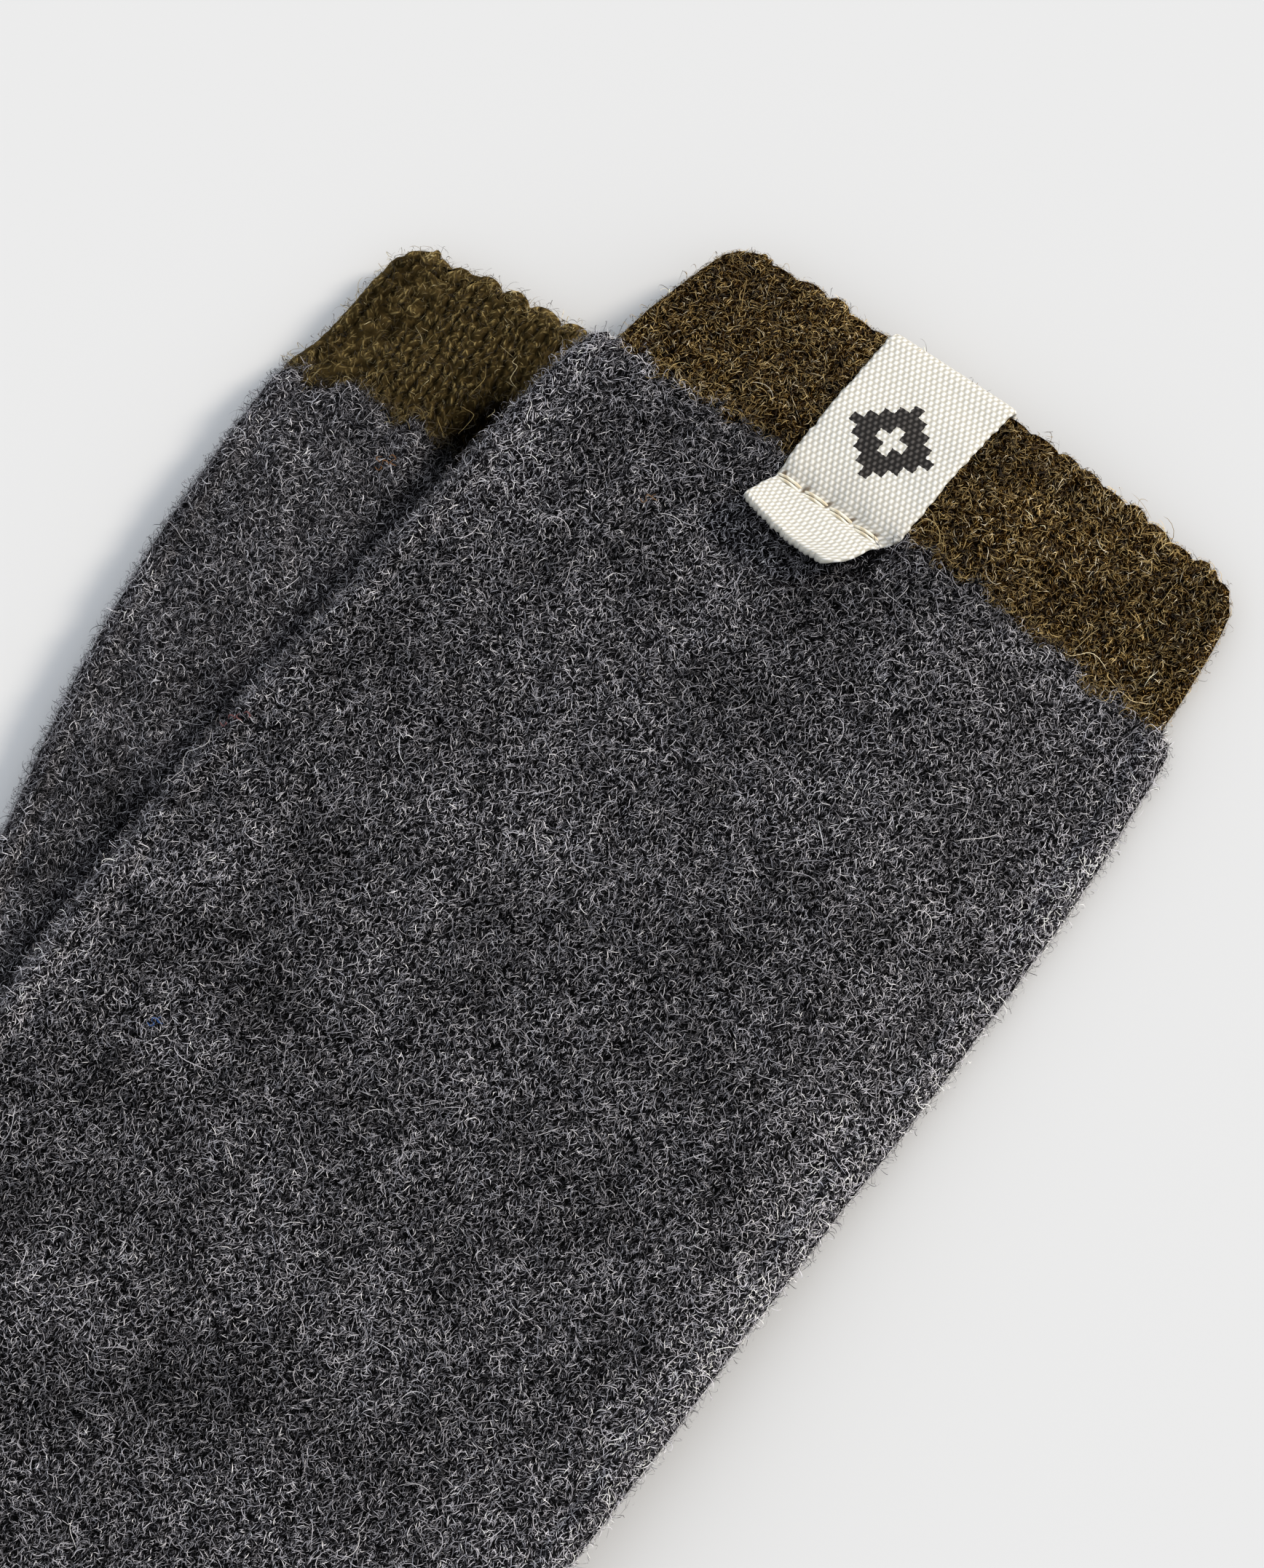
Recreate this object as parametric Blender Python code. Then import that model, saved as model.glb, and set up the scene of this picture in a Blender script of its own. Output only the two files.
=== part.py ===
"""A pair of knee-length felted wool socks, laid flat with one over the other.

Each sock is a knitted tube pressed flat: two layers of cloth joined by a half-round fold along
the calf and another along the shin, open at the top and closed at the toe. A cuff band carries on
from the seam at the top of the leg, and a folded tape label sits over the upper sock's cuff.

Frame: metres, +Z up from the surface the pair lies on, +Y up the leg of the upper sock, +X from
its calf to its shin, and the origin under the middle of the pair.
"""

import math
from collections import namedtuple

import bmesh
import bpy

MM = 0.001

# Cloth thicknesses, and the hollow left between a flattened tube's two layers.
BODY_WALL = 2.5 * MM
BODY_HOLLOW = 0.4 * MM
CUFF_WALL = 1.7 * MM
CUFF_HOLLOW = 1.7 * MM
TAPE_THICKNESS = 0.9 * MM

# Clearances: across a seam, and under a sock that lies on the other.
SEAM_GAP = 0.3 * MM
REST_GAP = 0.3 * MM

# A shallow groove runs along each folded side, on the layer that faces up.
GROOVE_INSET = 4.6 * MM
GROOVE_END = 8.5 * MM
GROOVE_DEPTH = 0.5 * MM

# How far past the lower sock's edge the upper sock takes to come down to the surface.
DRAPE_REACH = 30.0 * MM

# The cuff's height, and how much each wall is thinned at its rim.
CUFF_HEIGHT = 24.0 * MM
RIM_EASE = 0.5 * MM

# The toe's tip: how far it is rounded off beyond the last section, how much it narrows there, and
# how much of a quarter turn the rounding takes.
NOSE_REACH = 1.4 * MM
NOSE_NARROWING = 5.0 * MM
NOSE_TURN = math.radians(80.0)

# How finely round stretches are drawn, and the angle past which an edge is drawn sharp.
FOLD_STEPS = 6
RINGS_PER_SECTION = 2
NOSE_STEPS = 3
TAPE_COLUMNS = 4
TAPE_BEND_STEPS = 6
SHARP_ANGLE = math.radians(50.0)

# One row for each section across the body, from the calf side to the shin side, in millimetres:
# x from the middle of the leg, y up from the cuff seam.
Section = namedtuple("Section", "place back_x back_y front_x front_y")
BODY_SECTIONS = (
    Section("cuff seam", -47.6, -0.15, 47.0, -0.15),
    Section("below the seam", -49.3, -3.5, 48.2, -3.5),
    Section("top of the leg", -50.2, -20.0, 50.0, -20.0),
    Section("upper calf", -51.0, -45.0, 51.2, -45.0),
    Section("calf", -52.2, -75.0, 51.8, -75.0),
    Section("below the calf", -51.8, -115.0, 51.8, -115.0),
    Section("middle of the leg", -50.0, -170.0, 50.0, -170.0),
    Section("lower leg", -46.5, -225.0, 46.5, -223.0),
    Section("ankle", -43.0, -280.0, 43.0, -268.0),
    Section("top of the heel", -43.6, -314.0, 45.5, -283.0),
    Section("back of the heel", -43.4, -341.0, 50.5, -291.0),
    Section("heel curve", -36.5, -364.0, 57.5, -296.5),
    Section("under the heel", -20.0, -379.5, 66.0, -300.0),
    Section("front of the heel", 4.0, -386.5, 77.0, -303.0),
    Section("arch", 38.0, -390.5, 94.0, -306.0),
    Section("middle of the foot", 84.0, -394.5, 120.0, -310.0),
    Section("ball of the foot", 132.0, -398.5, 150.0, -314.5),
    Section("start of the toe", 166.0, -399.0, 174.0, -320.5),
    Section("toe", 186.0, -393.0, 189.0, -330.5),
    Section("end of the toe", 197.0, -382.5, 198.3, -344.0),
    Section("tip", 200.6, -374.5, 201.2, -353.0),
)

# Half width of the cuff band, from its seam (share 0) to its rim (share 1), in millimetres.
CuffSection = namedtuple("CuffSection", "share half_width")
CUFF_SECTIONS = (
    CuffSection(0.00, 45.4),
    CuffSection(0.25, 45.0),
    CuffSection(0.50, 44.4),
    CuffSection(0.75, 43.6),
    CuffSection(0.90, 42.9),
    CuffSection(0.97, 41.6),
    CuffSection(1.00, 39.4),
)

# A bend starts and ends at a depth below the seam in millimetres, and turns the leg anticlockwise
# in between.
Bend = namedtuple("Bend", "start end degrees")

# How each sock lies: the middle of its body's top end and how far the cuff sits to the side of that
# in millimetres, the turn of its cuff anticlockwise from +Y in degrees, the bends of its leg, and
# how many columns its layers are drawn with.
Lay = namedtuple("Lay", "name seam_x seam_y cuff_shift turn bends columns")
LOWER_BENDS = (Bend(15.0, 60.0, 12.0), Bend(85.0, 180.0, -8.5))
UPPER_BENDS = (Bend(75.0, 110.0, 2.5),)
LOWER_SOCK = Lay("lower_sock", -106.5, 167.5, -1.6, 4.3, LOWER_BENDS, 6)
UPPER_SOCK = Lay("upper_sock", -74.0, 186.5, 0.0, -2.5, UPPER_BENDS, 12)

# The tape from its hidden end inside the cuff, over the rim and down to its free end, in
# millimetres: y up from the cuff seam, the height of the middle of its thickness above what the
# sock lies on, and its two sides from the tape's own middle line.
TAPE_MIDDLE_X = -6.7
TAPE_BEND_Y = 23.6
TapePoint = namedtuple("TapePoint", "place y height left right")
TAPE_INSIDE = (
    TapePoint("hidden end", 5.0, 2.55, -10.0, 10.0),
    TapePoint("inside the cuff", 10.0, 2.55, -10.0, 10.0),
    TapePoint("inside the cuff", 15.0, 2.55, -10.0, 10.0),
    TapePoint("inside the rim", 20.0, 2.55, -10.0, 10.0),
)
TAPE_OUTSIDE = (
    TapePoint("below the rim", 20.0, 5.95, -10.0, 10.0),
    TapePoint("over the cuff", 15.0, 5.95, -10.0, 10.0),
    TapePoint("over the cuff", 10.0, 5.95, -10.0, 10.0),
    TapePoint("above the seam", 5.0, 5.95, -10.0, 10.0),
    TapePoint("over the seam", 1.0, 6.15, -10.0, 9.9),
    TapePoint("sewn line", -2.4, 6.25, -9.9, 9.2),
    TapePoint("free flap", -4.8, 6.75, -9.8, 8.4),
    TapePoint("free flap", -7.2, 7.6, -9.7, 6.9),
    TapePoint("cut end", -9.4, 8.7, -9.6, 4.6),
)

# Colours are linear RGB.
Finish = namedtuple("Finish", "name colour roughness metallic")
GREY_WOOL = Finish("felted_grey_wool", (0.064, 0.063, 0.067), 0.95, 0.0)
OLIVE_WOOL = Finish("knitted_olive_wool", (0.060, 0.040, 0.017), 0.92, 0.0)
CREAM_TAPE = Finish("woven_cream_cotton_tape", (0.80, 0.77, 0.70), 0.85, 0.0)


def mix(low, high, share):
    return low + (high - low) * share


def smooth_step(share):
    share = min(max(share, 0.0), 1.0)
    return share * share * (3.0 - 2.0 * share)


def clear_scene():
    for obj in list(bpy.data.objects):
        bpy.data.objects.remove(obj, do_unlink=True)


def spline(rows, steps):
    """Rows of numbers joined by a Catmull-Rom curve, with this many steps from row to row."""
    ends = [rows[0]] + list(rows) + [rows[-1]]
    curve = []
    for before, start, end, after in zip(ends, ends[1:], ends[2:], ends[3:]):
        for step in range(steps):
            t = step / steps
            curve.append(
                tuple(
                    0.5 * (2 * b + (c - a) * t + (2 * a - 5 * b + 4 * c - d) * t**2)
                    + 0.5 * (3 * b - a - 3 * c + d) * t**3
                    for a, b, c, d in zip(before, start, end, after)
                )
            )
    curve.append(tuple(rows[-1]))
    return curve


def centre_line(lay, depth):
    """Middle of a sock's leg at a depth below its seam, and the way its upper end points there."""
    heading = math.radians(lay.turn)
    x, y = lay.seam_x * MM, lay.seam_y * MM
    done = 0.0
    for bend in lay.bends:
        start, end = bend.start * MM, bend.end * MM
        straight = min(depth, start) - done
        x += straight * math.sin(heading)
        y -= straight * math.cos(heading)
        if depth <= start:
            return x, y, heading
        turned = math.radians(bend.degrees) * min((depth - start) / (end - start), 1.0)
        chord = 2 * (end - start) / math.radians(bend.degrees) * math.sin(turned / 2)
        x += chord * math.sin(heading + turned / 2)
        y -= chord * math.cos(heading + turned / 2)
        heading += turned
        done = min(depth, end)
    x += (depth - done) * math.sin(heading)
    y -= (depth - done) * math.cos(heading)
    return x, y, heading


def laid(lay, x, y):
    """A point of a straight sock, in metres from its seam, where that sock lies."""
    middle_x, middle_y, heading = centre_line(lay, -y)
    return middle_x + x * math.cos(heading), middle_y + x * math.sin(heading)


def body_lines(lay):
    """Back and front point of each ring of the body, as the sock lies."""
    rows = [section[1:] for section in BODY_SECTIONS]
    return [
        (laid(lay, back_x * MM, back_y * MM), laid(lay, front_x * MM, front_y * MM))
        for back_x, back_y, front_x, front_y in spline(rows, RINGS_PER_SECTION)
    ]


def cuff_lines(lay):
    """Back and front point of each ring of the cuff, from its seam to its rim."""
    lines = []
    for share, half_width in CUFF_SECTIONS:
        y = mix(SEAM_GAP / 2, CUFF_HEIGHT, share)
        back, front = lay.cuff_shift - half_width, lay.cuff_shift + half_width
        lines.append((laid(lay, back * MM, y), laid(lay, front * MM, y)))
    return lines


def outline_of(lay):
    """The closed line round a sock as it lies, seen from above."""
    lines = list(reversed(cuff_lines(lay))) + body_lines(lay)
    return [back for back, _ in lines] + [front for _, front in reversed(lines)]


def distance_outside(outline, x, y):
    """How far a point lies outside a closed line: 0 for one inside it."""
    nearest = math.inf
    inside = False
    for (x0, y0), (x1, y1) in zip(outline, outline[1:] + outline[:1]):
        along_x, along_y = x1 - x0, y1 - y0
        length = along_x**2 + along_y**2
        share = ((x - x0) * along_x + (y - y0) * along_y) / length if length else 0.0
        share = min(max(share, 0.0), 1.0)
        nearest = min(nearest, math.hypot(x - x0 - share * along_x, y - y0 - share * along_y))
        if (y0 > y) != (y1 > y) and x < x0 + along_x * (y - y0) / along_y:
            inside = not inside
    return 0.0 if inside else nearest


class Ground:
    """What a sock lies on: the bare surface, or the surface with another sock on it."""

    def __init__(self, outline=(), height=0.0):
        self.outline = list(outline)
        self.height = height

    def level(self, x, y):
        if not self.outline:
            return 0.0
        away = distance_outside(self.outline, x, y)
        return self.height * (1.0 - smooth_step(away / DRAPE_REACH))


def across_places(half_width, columns):
    """Where the top layer's points lie across a ring, with closer ones at the side grooves."""
    inner = half_width - GROOVE_END
    middle = [mix(-inner, inner, step / columns) for step in range(columns + 1)]
    groove = half_width - GROOVE_INSET
    return [-groove] + middle + [groove]


def flat_loop(half_width, thickness, base, places, groove_depth):
    """Points (across, up) once round a flattened tube: fold, top layer, fold, bottom layer."""
    radius = thickness / 2
    fold = [math.pi * step / FOLD_STEPS for step in range(FOLD_STEPS + 1)]
    round_x = [radius * math.sin(angle) for angle in fold]
    round_z = [base + radius - radius * math.cos(angle) for angle in fold]
    flat = half_width - radius
    top = base + thickness
    loop = [(-flat - x, z) for x, z in zip(round_x, round_z)]
    for place in places:
        in_groove = place in (places[0], places[-1])
        loop.append((place, top - groove_depth if in_groove else top))
    loop += [(flat + x, z) for x, z in zip(reversed(round_x), reversed(round_z))]
    loop += [(place, base) for place in reversed(places[1:-1])]
    return loop


def ring_of(back, front, loop, ground):
    """A loop of (across, up) points stood on the line from back to front, over the ground."""
    middle = ((back[0] + front[0]) / 2, (back[1] + front[1]) / 2)
    width = math.dist(back, front)
    across = ((front[0] - back[0]) / width, (front[1] - back[1]) / width)
    ring = []
    for place, up in loop:
        x = middle[0] + place * across[0]
        y = middle[1] + place * across[1]
        ring.append((x, y, up + ground.level(x, y)))
    return ring


def joined_rings(mesh, rings):
    """Faces between each ring of vertices and the next."""
    for ring, following in zip(rings, rings[1:]):
        for index, vertex in enumerate(ring):
            after = (index + 1) % len(ring)
            mesh.faces.new((vertex, ring[after], following[after], following[index]))


def closed_end(mesh, ring):
    """A fan of faces over a ring, round a vertex at its middle."""
    middle = mesh.verts.new([sum(v.co[axis] for v in ring) / len(ring) for axis in range(3)])
    for index, vertex in enumerate(ring):
        mesh.faces.new((vertex, ring[(index + 1) % len(ring)], middle))


def nose_rings(back, front, places_for, ground):
    """Rings that round off the toe beyond the last section, thinner and narrower in turn."""
    thickness = 2 * BODY_WALL + BODY_HOLLOW
    radius = thickness / 2
    width = math.dist(back, front)
    forward = ((front[1] - back[1]) / width, (back[0] - front[0]) / width)
    half_width = width / 2
    rings = []
    for step in range(1, NOSE_STEPS + 1):
        angle = NOSE_TURN * step / NOSE_STEPS
        reach = NOSE_REACH * math.sin(angle)
        eased = radius * (1.0 - math.cos(angle))
        narrow = half_width - NOSE_NARROWING * (1.0 - math.cos(angle))
        start = (back[0] + forward[0] * reach, back[1] + forward[1] * reach)
        end = (front[0] + forward[0] * reach, front[1] + forward[1] * reach)
        loop = flat_loop(narrow, thickness - 2 * eased, eased, places_for(narrow), 0.0)
        rings.append(ring_of(start, end, loop, ground))
    return rings


def new_vertices(mesh, rings):
    return [[mesh.verts.new(point) for point in ring] for ring in rings]


def finish_material(finish):
    material = bpy.data.materials.new(finish.name)
    material.use_nodes = True
    shader = material.node_tree.nodes["Principled BSDF"]
    shader.inputs["Base Color"].default_value = (*finish.colour, 1.0)
    shader.inputs["Roughness"].default_value = finish.roughness
    shader.inputs["Metallic"].default_value = finish.metallic
    material.diffuse_color = (*finish.colour, 1.0)
    return material


def placed_object(name, mesh, material):
    """The finished mesh as an object, with its faces turned outwards and shaded smooth."""
    bmesh.ops.recalc_face_normals(mesh, faces=mesh.faces)
    data = bpy.data.meshes.new(name)
    mesh.to_mesh(data)
    mesh.free()
    data.materials.append(material)
    data.shade_smooth()
    data.set_sharp_from_angle(angle=SHARP_ANGLE)
    obj = bpy.data.objects.new(name, data)
    bpy.context.scene.collection.objects.link(obj)
    return obj


def tube_mesh(outer, inner, closed):
    """A wall between outer and inner rings, joined at the first ring and at the last one.

    A closed tube's last outer ring and last inner ring are each covered by a fan instead.
    """
    mesh = bmesh.new()
    outer = new_vertices(mesh, outer)
    inner = new_vertices(mesh, inner)
    joined_rings(mesh, outer)
    joined_rings(mesh, inner)
    joined_rings(mesh, [outer[0], inner[0]])
    if closed:
        closed_end(mesh, outer[-1])
        closed_end(mesh, inner[-1])
    else:
        joined_rings(mesh, [outer[-1], inner[-1]])
    return mesh


def body_object(lay, ground, material):
    """Leg, heel, foot and toe in one knitted piece."""
    thickness = 2 * BODY_WALL + BODY_HOLLOW
    lines = body_lines(lay)
    outer, inner = [], []
    for back, front in lines:
        half_width = math.dist(back, front) / 2
        places = across_places(half_width, lay.columns)
        wall = flat_loop(half_width, thickness, 0.0, places, GROOVE_DEPTH)
        hollow = flat_loop(half_width - BODY_WALL, BODY_HOLLOW, BODY_WALL, places, 0.0)
        outer.append(ring_of(back, front, wall, ground))
        inner.append(ring_of(back, front, hollow, ground))
    nose = nose_rings(*lines[-1], lambda half: across_places(half, lay.columns), ground)
    mesh = tube_mesh(outer + nose, inner[: -2 * RINGS_PER_SECTION], closed=True)
    return placed_object(lay.name + "_body", mesh, material)


def cuff_object(lay, ground, material):
    """The band above the seam, open at both ends and eased round its rim."""
    lines = cuff_lines(lay)
    thickness = 2 * CUFF_WALL + CUFF_HOLLOW
    outer, inner = [], []
    for number, (back, front) in enumerate(lines):
        half_width = math.dist(back, front) / 2
        places = across_places(half_width, lay.columns)
        eased = RIM_EASE if number == len(lines) - 1 else 0.0
        wall = flat_loop(half_width, thickness - 2 * eased, eased, places, 0.0)
        hollow = flat_loop(half_width + eased - CUFF_WALL, CUFF_HOLLOW, CUFF_WALL, places, 0.0)
        outer.append(ring_of(back, front, wall, ground))
        inner.append(ring_of(back, front, hollow, ground))
    return placed_object(lay.name + "_cuff", tube_mesh(outer, inner, closed=False), material)


def tape_path():
    """The middle of the tape's thickness, with its bend round the rim: rows y, height, sides."""
    low, high = TAPE_INSIDE[-1], TAPE_OUTSIDE[0]
    radius = (high.height - low.height) / 2
    rows = [point[1:] for point in TAPE_INSIDE]
    for step in range(TAPE_BEND_STEPS + 1):
        angle = math.pi * step / TAPE_BEND_STEPS
        y = TAPE_BEND_Y + radius * math.sin(angle)
        height = low.height + radius * (1.0 - math.cos(angle))
        rows.append((y, height, low.left, low.right))
    rows += [point[1:] for point in TAPE_OUTSIDE]
    return [tuple(value * MM for value in row) for row in rows]


def label_object(lay, ground, material):
    """The tape folded over the cuff's rim, with a free flap below its sewn line."""
    rows = tape_path()
    columns = list(range(TAPE_COLUMNS + 1))
    both_faces = [(column, -1) for column in columns] + [(column, 1) for column in reversed(columns)]
    rings = []
    for index, (y, height, left, right) in enumerate(rows):
        before = rows[max(index - 1, 0)]
        after = rows[min(index + 1, len(rows) - 1)]
        run = math.dist(before[:2], after[:2])
        out_y = -(after[1] - before[1]) / run
        out_z = (after[0] - before[0]) / run
        ring = []
        for column, side in both_faces:
            offset = side * TAPE_THICKNESS / 2
            x = TAPE_MIDDLE_X * MM + mix(left, right, column / TAPE_COLUMNS)
            place = laid(lay, x, y + out_y * offset)
            ring.append((*place, height + out_z * offset + ground.level(*place)))
        rings.append(ring)
    mesh = bmesh.new()
    rings = new_vertices(mesh, rings)
    joined_rings(mesh, rings)
    mesh.faces.new(rings[0])
    mesh.faces.new(rings[-1])
    return placed_object(lay.name + "_label", mesh, material)


def main():
    clear_scene()
    grey = finish_material(GREY_WOOL)
    olive = finish_material(OLIVE_WOOL)
    cream = finish_material(CREAM_TAPE)
    surface = Ground()
    height = 2 * BODY_WALL + BODY_HOLLOW + REST_GAP
    over_lower_sock = Ground(outline_of(LOWER_SOCK), height)
    for lay, ground in ((LOWER_SOCK, surface), (UPPER_SOCK, over_lower_sock)):
        body_object(lay, ground, grey)
        cuff_object(lay, ground, olive)
    label_object(UPPER_SOCK, over_lower_sock, cream)


main()
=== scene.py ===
"""The looks of a pair of long felted wool socks, laid flat with one over the other.

Shapes are worked out in millimetres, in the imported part's own frame, and turned to metres as each
mesh is made. A sock's own flat coordinates are x from the middle of its leg towards the shin and
y up from its cuff seam; its lay says where they come to lie.
"""

import logging
import math
from dataclasses import dataclass
from enum import Enum
from typing import Any

import bpy
import numpy as np
from mathutils import Matrix, Vector

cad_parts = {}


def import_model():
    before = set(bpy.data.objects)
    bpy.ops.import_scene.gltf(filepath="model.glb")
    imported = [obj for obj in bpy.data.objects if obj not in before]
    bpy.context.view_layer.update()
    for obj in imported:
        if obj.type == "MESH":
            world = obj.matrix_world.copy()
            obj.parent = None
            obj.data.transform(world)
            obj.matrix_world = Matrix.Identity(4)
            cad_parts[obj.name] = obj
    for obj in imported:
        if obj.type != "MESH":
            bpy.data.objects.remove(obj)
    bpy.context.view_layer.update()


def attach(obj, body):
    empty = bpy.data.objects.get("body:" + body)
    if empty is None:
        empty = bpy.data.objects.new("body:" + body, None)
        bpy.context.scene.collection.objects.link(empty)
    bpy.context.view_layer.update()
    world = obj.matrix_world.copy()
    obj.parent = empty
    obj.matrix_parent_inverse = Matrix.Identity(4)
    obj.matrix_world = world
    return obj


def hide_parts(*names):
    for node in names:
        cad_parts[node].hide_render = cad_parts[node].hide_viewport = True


LOG = logging.getLogger("socks")
MM = 0.001
ROOT = "root"

Array = np.ndarray
Piece = bpy.types.Object
Material = bpy.types.Material
Pairs = tuple[tuple[float, float], ...]
Shades = tuple[str, str, str]
Values = dict[str, Array]
Stops = tuple[tuple[float, str], ...]

# The kinds of node that are used most.
MATH = "ShaderNodeMath"
VECTOR_MATH = "ShaderNodeVectorMath"
MAP_RANGE = "ShaderNodeMapRange"
SEPARATE = "ShaderNodeSeparateXYZ"
COMBINE = "ShaderNodeCombineXYZ"
NOISE = "ShaderNodeTexNoise"
VORONOI = "ShaderNodeTexVoronoi"
RAMP = "ShaderNodeValToRGB"
MIX = "ShaderNodeMix"
BUMP = "ShaderNodeBump"
UV_MAP = "ShaderNodeUVMap"
ATTRIBUTE = "ShaderNodeAttribute"
NAMED = "GeometryNodeInputNamedAttribute"
KEEP_NAMED = "GeometryNodeStoreNamedAttribute"
DROP_NAMED = "GeometryNodeRemoveAttribute"
RANDOM = "FunctionNodeRandomValue"
ALIGN = "FunctionNodeAlignRotationToVector"
ROTATE = "FunctionNodeRotateRotation"
EULER = "FunctionNodeEulerToRotation"
PLACE = "GeometryNodeInstanceOnPoints"
REALIZE = "GeometryNodeRealizeInstances"
SET_MATERIAL = "GeometryNodeSetMaterial"

# Cloth thicknesses, in millimetres, and the hollow between a flattened tube's two layers.
BODY_WALL = 2.5
BODY_HOLLOW = 0.4
CUFF_WALL = 1.7
CUFF_HOLLOW = 1.7
TAPE_THICKNESS = 0.9
BODY_THICKNESS = 2 * BODY_WALL + BODY_HOLLOW
CUFF_THICKNESS = 2 * CUFF_WALL + CUFF_HOLLOW

# Clearances across a seam and under a sock that lies on the other, and how the upper one drapes.
SEAM_GAP = 0.3
REST_GAP = 0.3
DRAPE_REACH = 30.0

# The cuff's height, and the toe's rounded tip.
CUFF_HEIGHT = 24.0
NOSE_REACH = 1.4
NOSE_NARROWING = 5.0
NOSE_TURN = math.radians(80.0)

# Steps of a side fold and of the toe's tip.
FOLD_STEPS = 10
NOSE_RINGS = 5

# A stitch's length, and where the first begins, from the tape's left side.
STITCH = 4.1
STITCH_START = 1.0

# Room that the fuzz takes beyond a shell's side, and how thick the coat is away from the cuffs.
FUZZ_ROOM = 0.55
REST_COAT = 0.05
LOWEST_FIBRE = 0.1

# No wool is whiter than this.
WHITEST = (0.86, 0.85, 0.82)

# The width of a patch of the mélange, and how far apart pale neps lie in the wool.
PATCH = 8.0
NEP_SPACING = 6.0

# The widths of a single hair and of a dyed curl, and the steps from each given place to the next.
HAIR_WIDTH = 0.065
CURL_WIDTH = 0.17
HAIR_STEPS = 6

# Beside the sock on top: where the one below is free again, where its dent is deepest and how wide
# it is, how far the shade reaches, and the distance that stands for no sock on top.
FREE_FROM = 3.0
DENT_PLACE = 1.2
DENT_WIDTH = 1.6
SHADE_REACH = 2.2
NOT_COVERED = 99.0

# The place on the upper sock that the tape covers: its middle and half its width, and its ends.
COVERED_X = -6.2
COVERED_HALF = 9.2
COVERED_Y = (-7.0, 24.5)

# Attributes that a shell carries for its coat of fibres: how thick it is, where long fibres stand off
# a fold, the painted light and shade that scale the wool's colour, which way the fibres run and where
# no coat covers the cloth. Then those of the fibres' forms and shades, and the maps of a fibre's shade
# and of the tape.
COAT = "coat"
EDGE = "edge"
# The 'pale' attribute is painted light and shade: painted highlights on folds and rims, painted shade in
# creases, in the knit's gaps and beside the sock on top.
PAINTED_LIGHT_AND_SHADE = "pale"
GRAIN = "grain"
BARE = "bare"
VARIANT = "variant"
STRIP = "strip"
TONE = "tone"
TONE_MAP = "OFBake"
TAPE_MAP = "tape"

# Sections across the body: back x and y, then front x and y, from the cuff seam to the toe's tip.
BODY_SECTIONS = np.array(
    [
        (-47.6, -0.15, 47.0, -0.15), (-49.3, -3.5, 48.2, -3.5), (-50.2, -20.0, 50.0, -20.0),
        (-51.0, -45.0, 51.2, -45.0), (-52.2, -75.0, 51.8, -75.0), (-51.8, -115.0, 51.8, -115.0),
        (-50.0, -170.0, 50.0, -170.0), (-46.5, -225.0, 46.5, -223.0), (-43.0, -280.0, 43.0, -268.0),
        (-43.6, -314.0, 45.5, -283.0), (-43.4, -341.0, 50.5, -291.0), (-36.5, -364.0, 57.5, -296.5),
        (-20.0, -379.5, 66.0, -300.0), (4.0, -386.5, 77.0, -303.0), (38.0, -390.5, 94.0, -306.0),
        (84.0, -394.5, 120.0, -310.0), (132.0, -398.5, 150.0, -314.5), (166.0, -399.0, 174.0, -320.5),
        (186.0, -393.0, 189.0, -330.5), (197.0, -382.5, 198.3, -344.0), (200.6, -374.5, 201.2, -353.0),
    ]
)

# Half width of the cuff from its seam (share 0) to its rim (share 1).
CUFF_SECTIONS = np.array(
    [(0.0, 45.4), (0.25, 45.0), (0.5, 44.4), (0.75, 43.6), (0.9, 42.9), (0.97, 41.6), (1.0, 39.4)]
)

# The tape's middle line: y, height over what the sock lies on, left and right side. It starts
# inside the cuff, bends round the rim and ends in the free flap.
TAPE_MIDDLE_X = -6.7
TAPE_BEND_Y = 23.9
TAPE_WIDTH = 20.0
TAPE_INSIDE = np.array([(y, 2.55, -9.6, 10.4) for y in (5.0, 10.0, 15.0, 20.0)])
TAPE_OUTSIDE = np.array(
    [
        (20.0, 5.95, -9.3, 10.4), (15.0, 5.95, -9.1, 10.4), (10.0, 5.95, -8.9, 10.3),
        (5.0, 5.95, -8.8, 10.3), (1.0, 6.15, -8.6, 10.3), (-1.0, 6.2, -8.5, 10.2),
        (-2.6, 6.2, -8.5, 9.0), (-4.4, 6.6, -8.8, 7.9), (-5.8, 7.15, -9.1, 7.6),
        (-7.2, 7.75, -9.3, 7.0), (-8.4, 8.25, -9.4, 6.0), (-9.4, 8.7, -9.4, 4.8),
    ]
)


class Sock(Enum):
    """Which of the two socks."""

    LOWER = "lower_sock"
    UPPER = "upper_sock"


class Slot(Enum):
    """The finishes that a scene may repaint."""

    GREY = "grey_wool"
    OLIVE = "olive_wool"
    TAPE = "cream_tape"


def linear(code: str) -> tuple[float, float, float, float]:
    """Linear colour of an sRGB hex code such as "#4A4A4B"."""
    shares = (int(code[place : place + 2], 16) / 255 for place in (1, 3, 5))
    return (*(s / 12.92 if s <= 0.04045 else ((s + 0.055) / 1.055) ** 2.4 for s in shares), 1.0)


def smooth_step(share: Array) -> Array:
    """0 below 0, 1 above 1 and a smooth rise between."""
    share = np.clip(share, 0.0, 1.0)
    return share * share * (3.0 - 2.0 * share)

def bell(place: Array, middle: float, width: float) -> Array:
    """1 at the middle, falling to 0 on both sides of it."""
    return np.exp(-(((place - middle) / width) ** 2))


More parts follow.
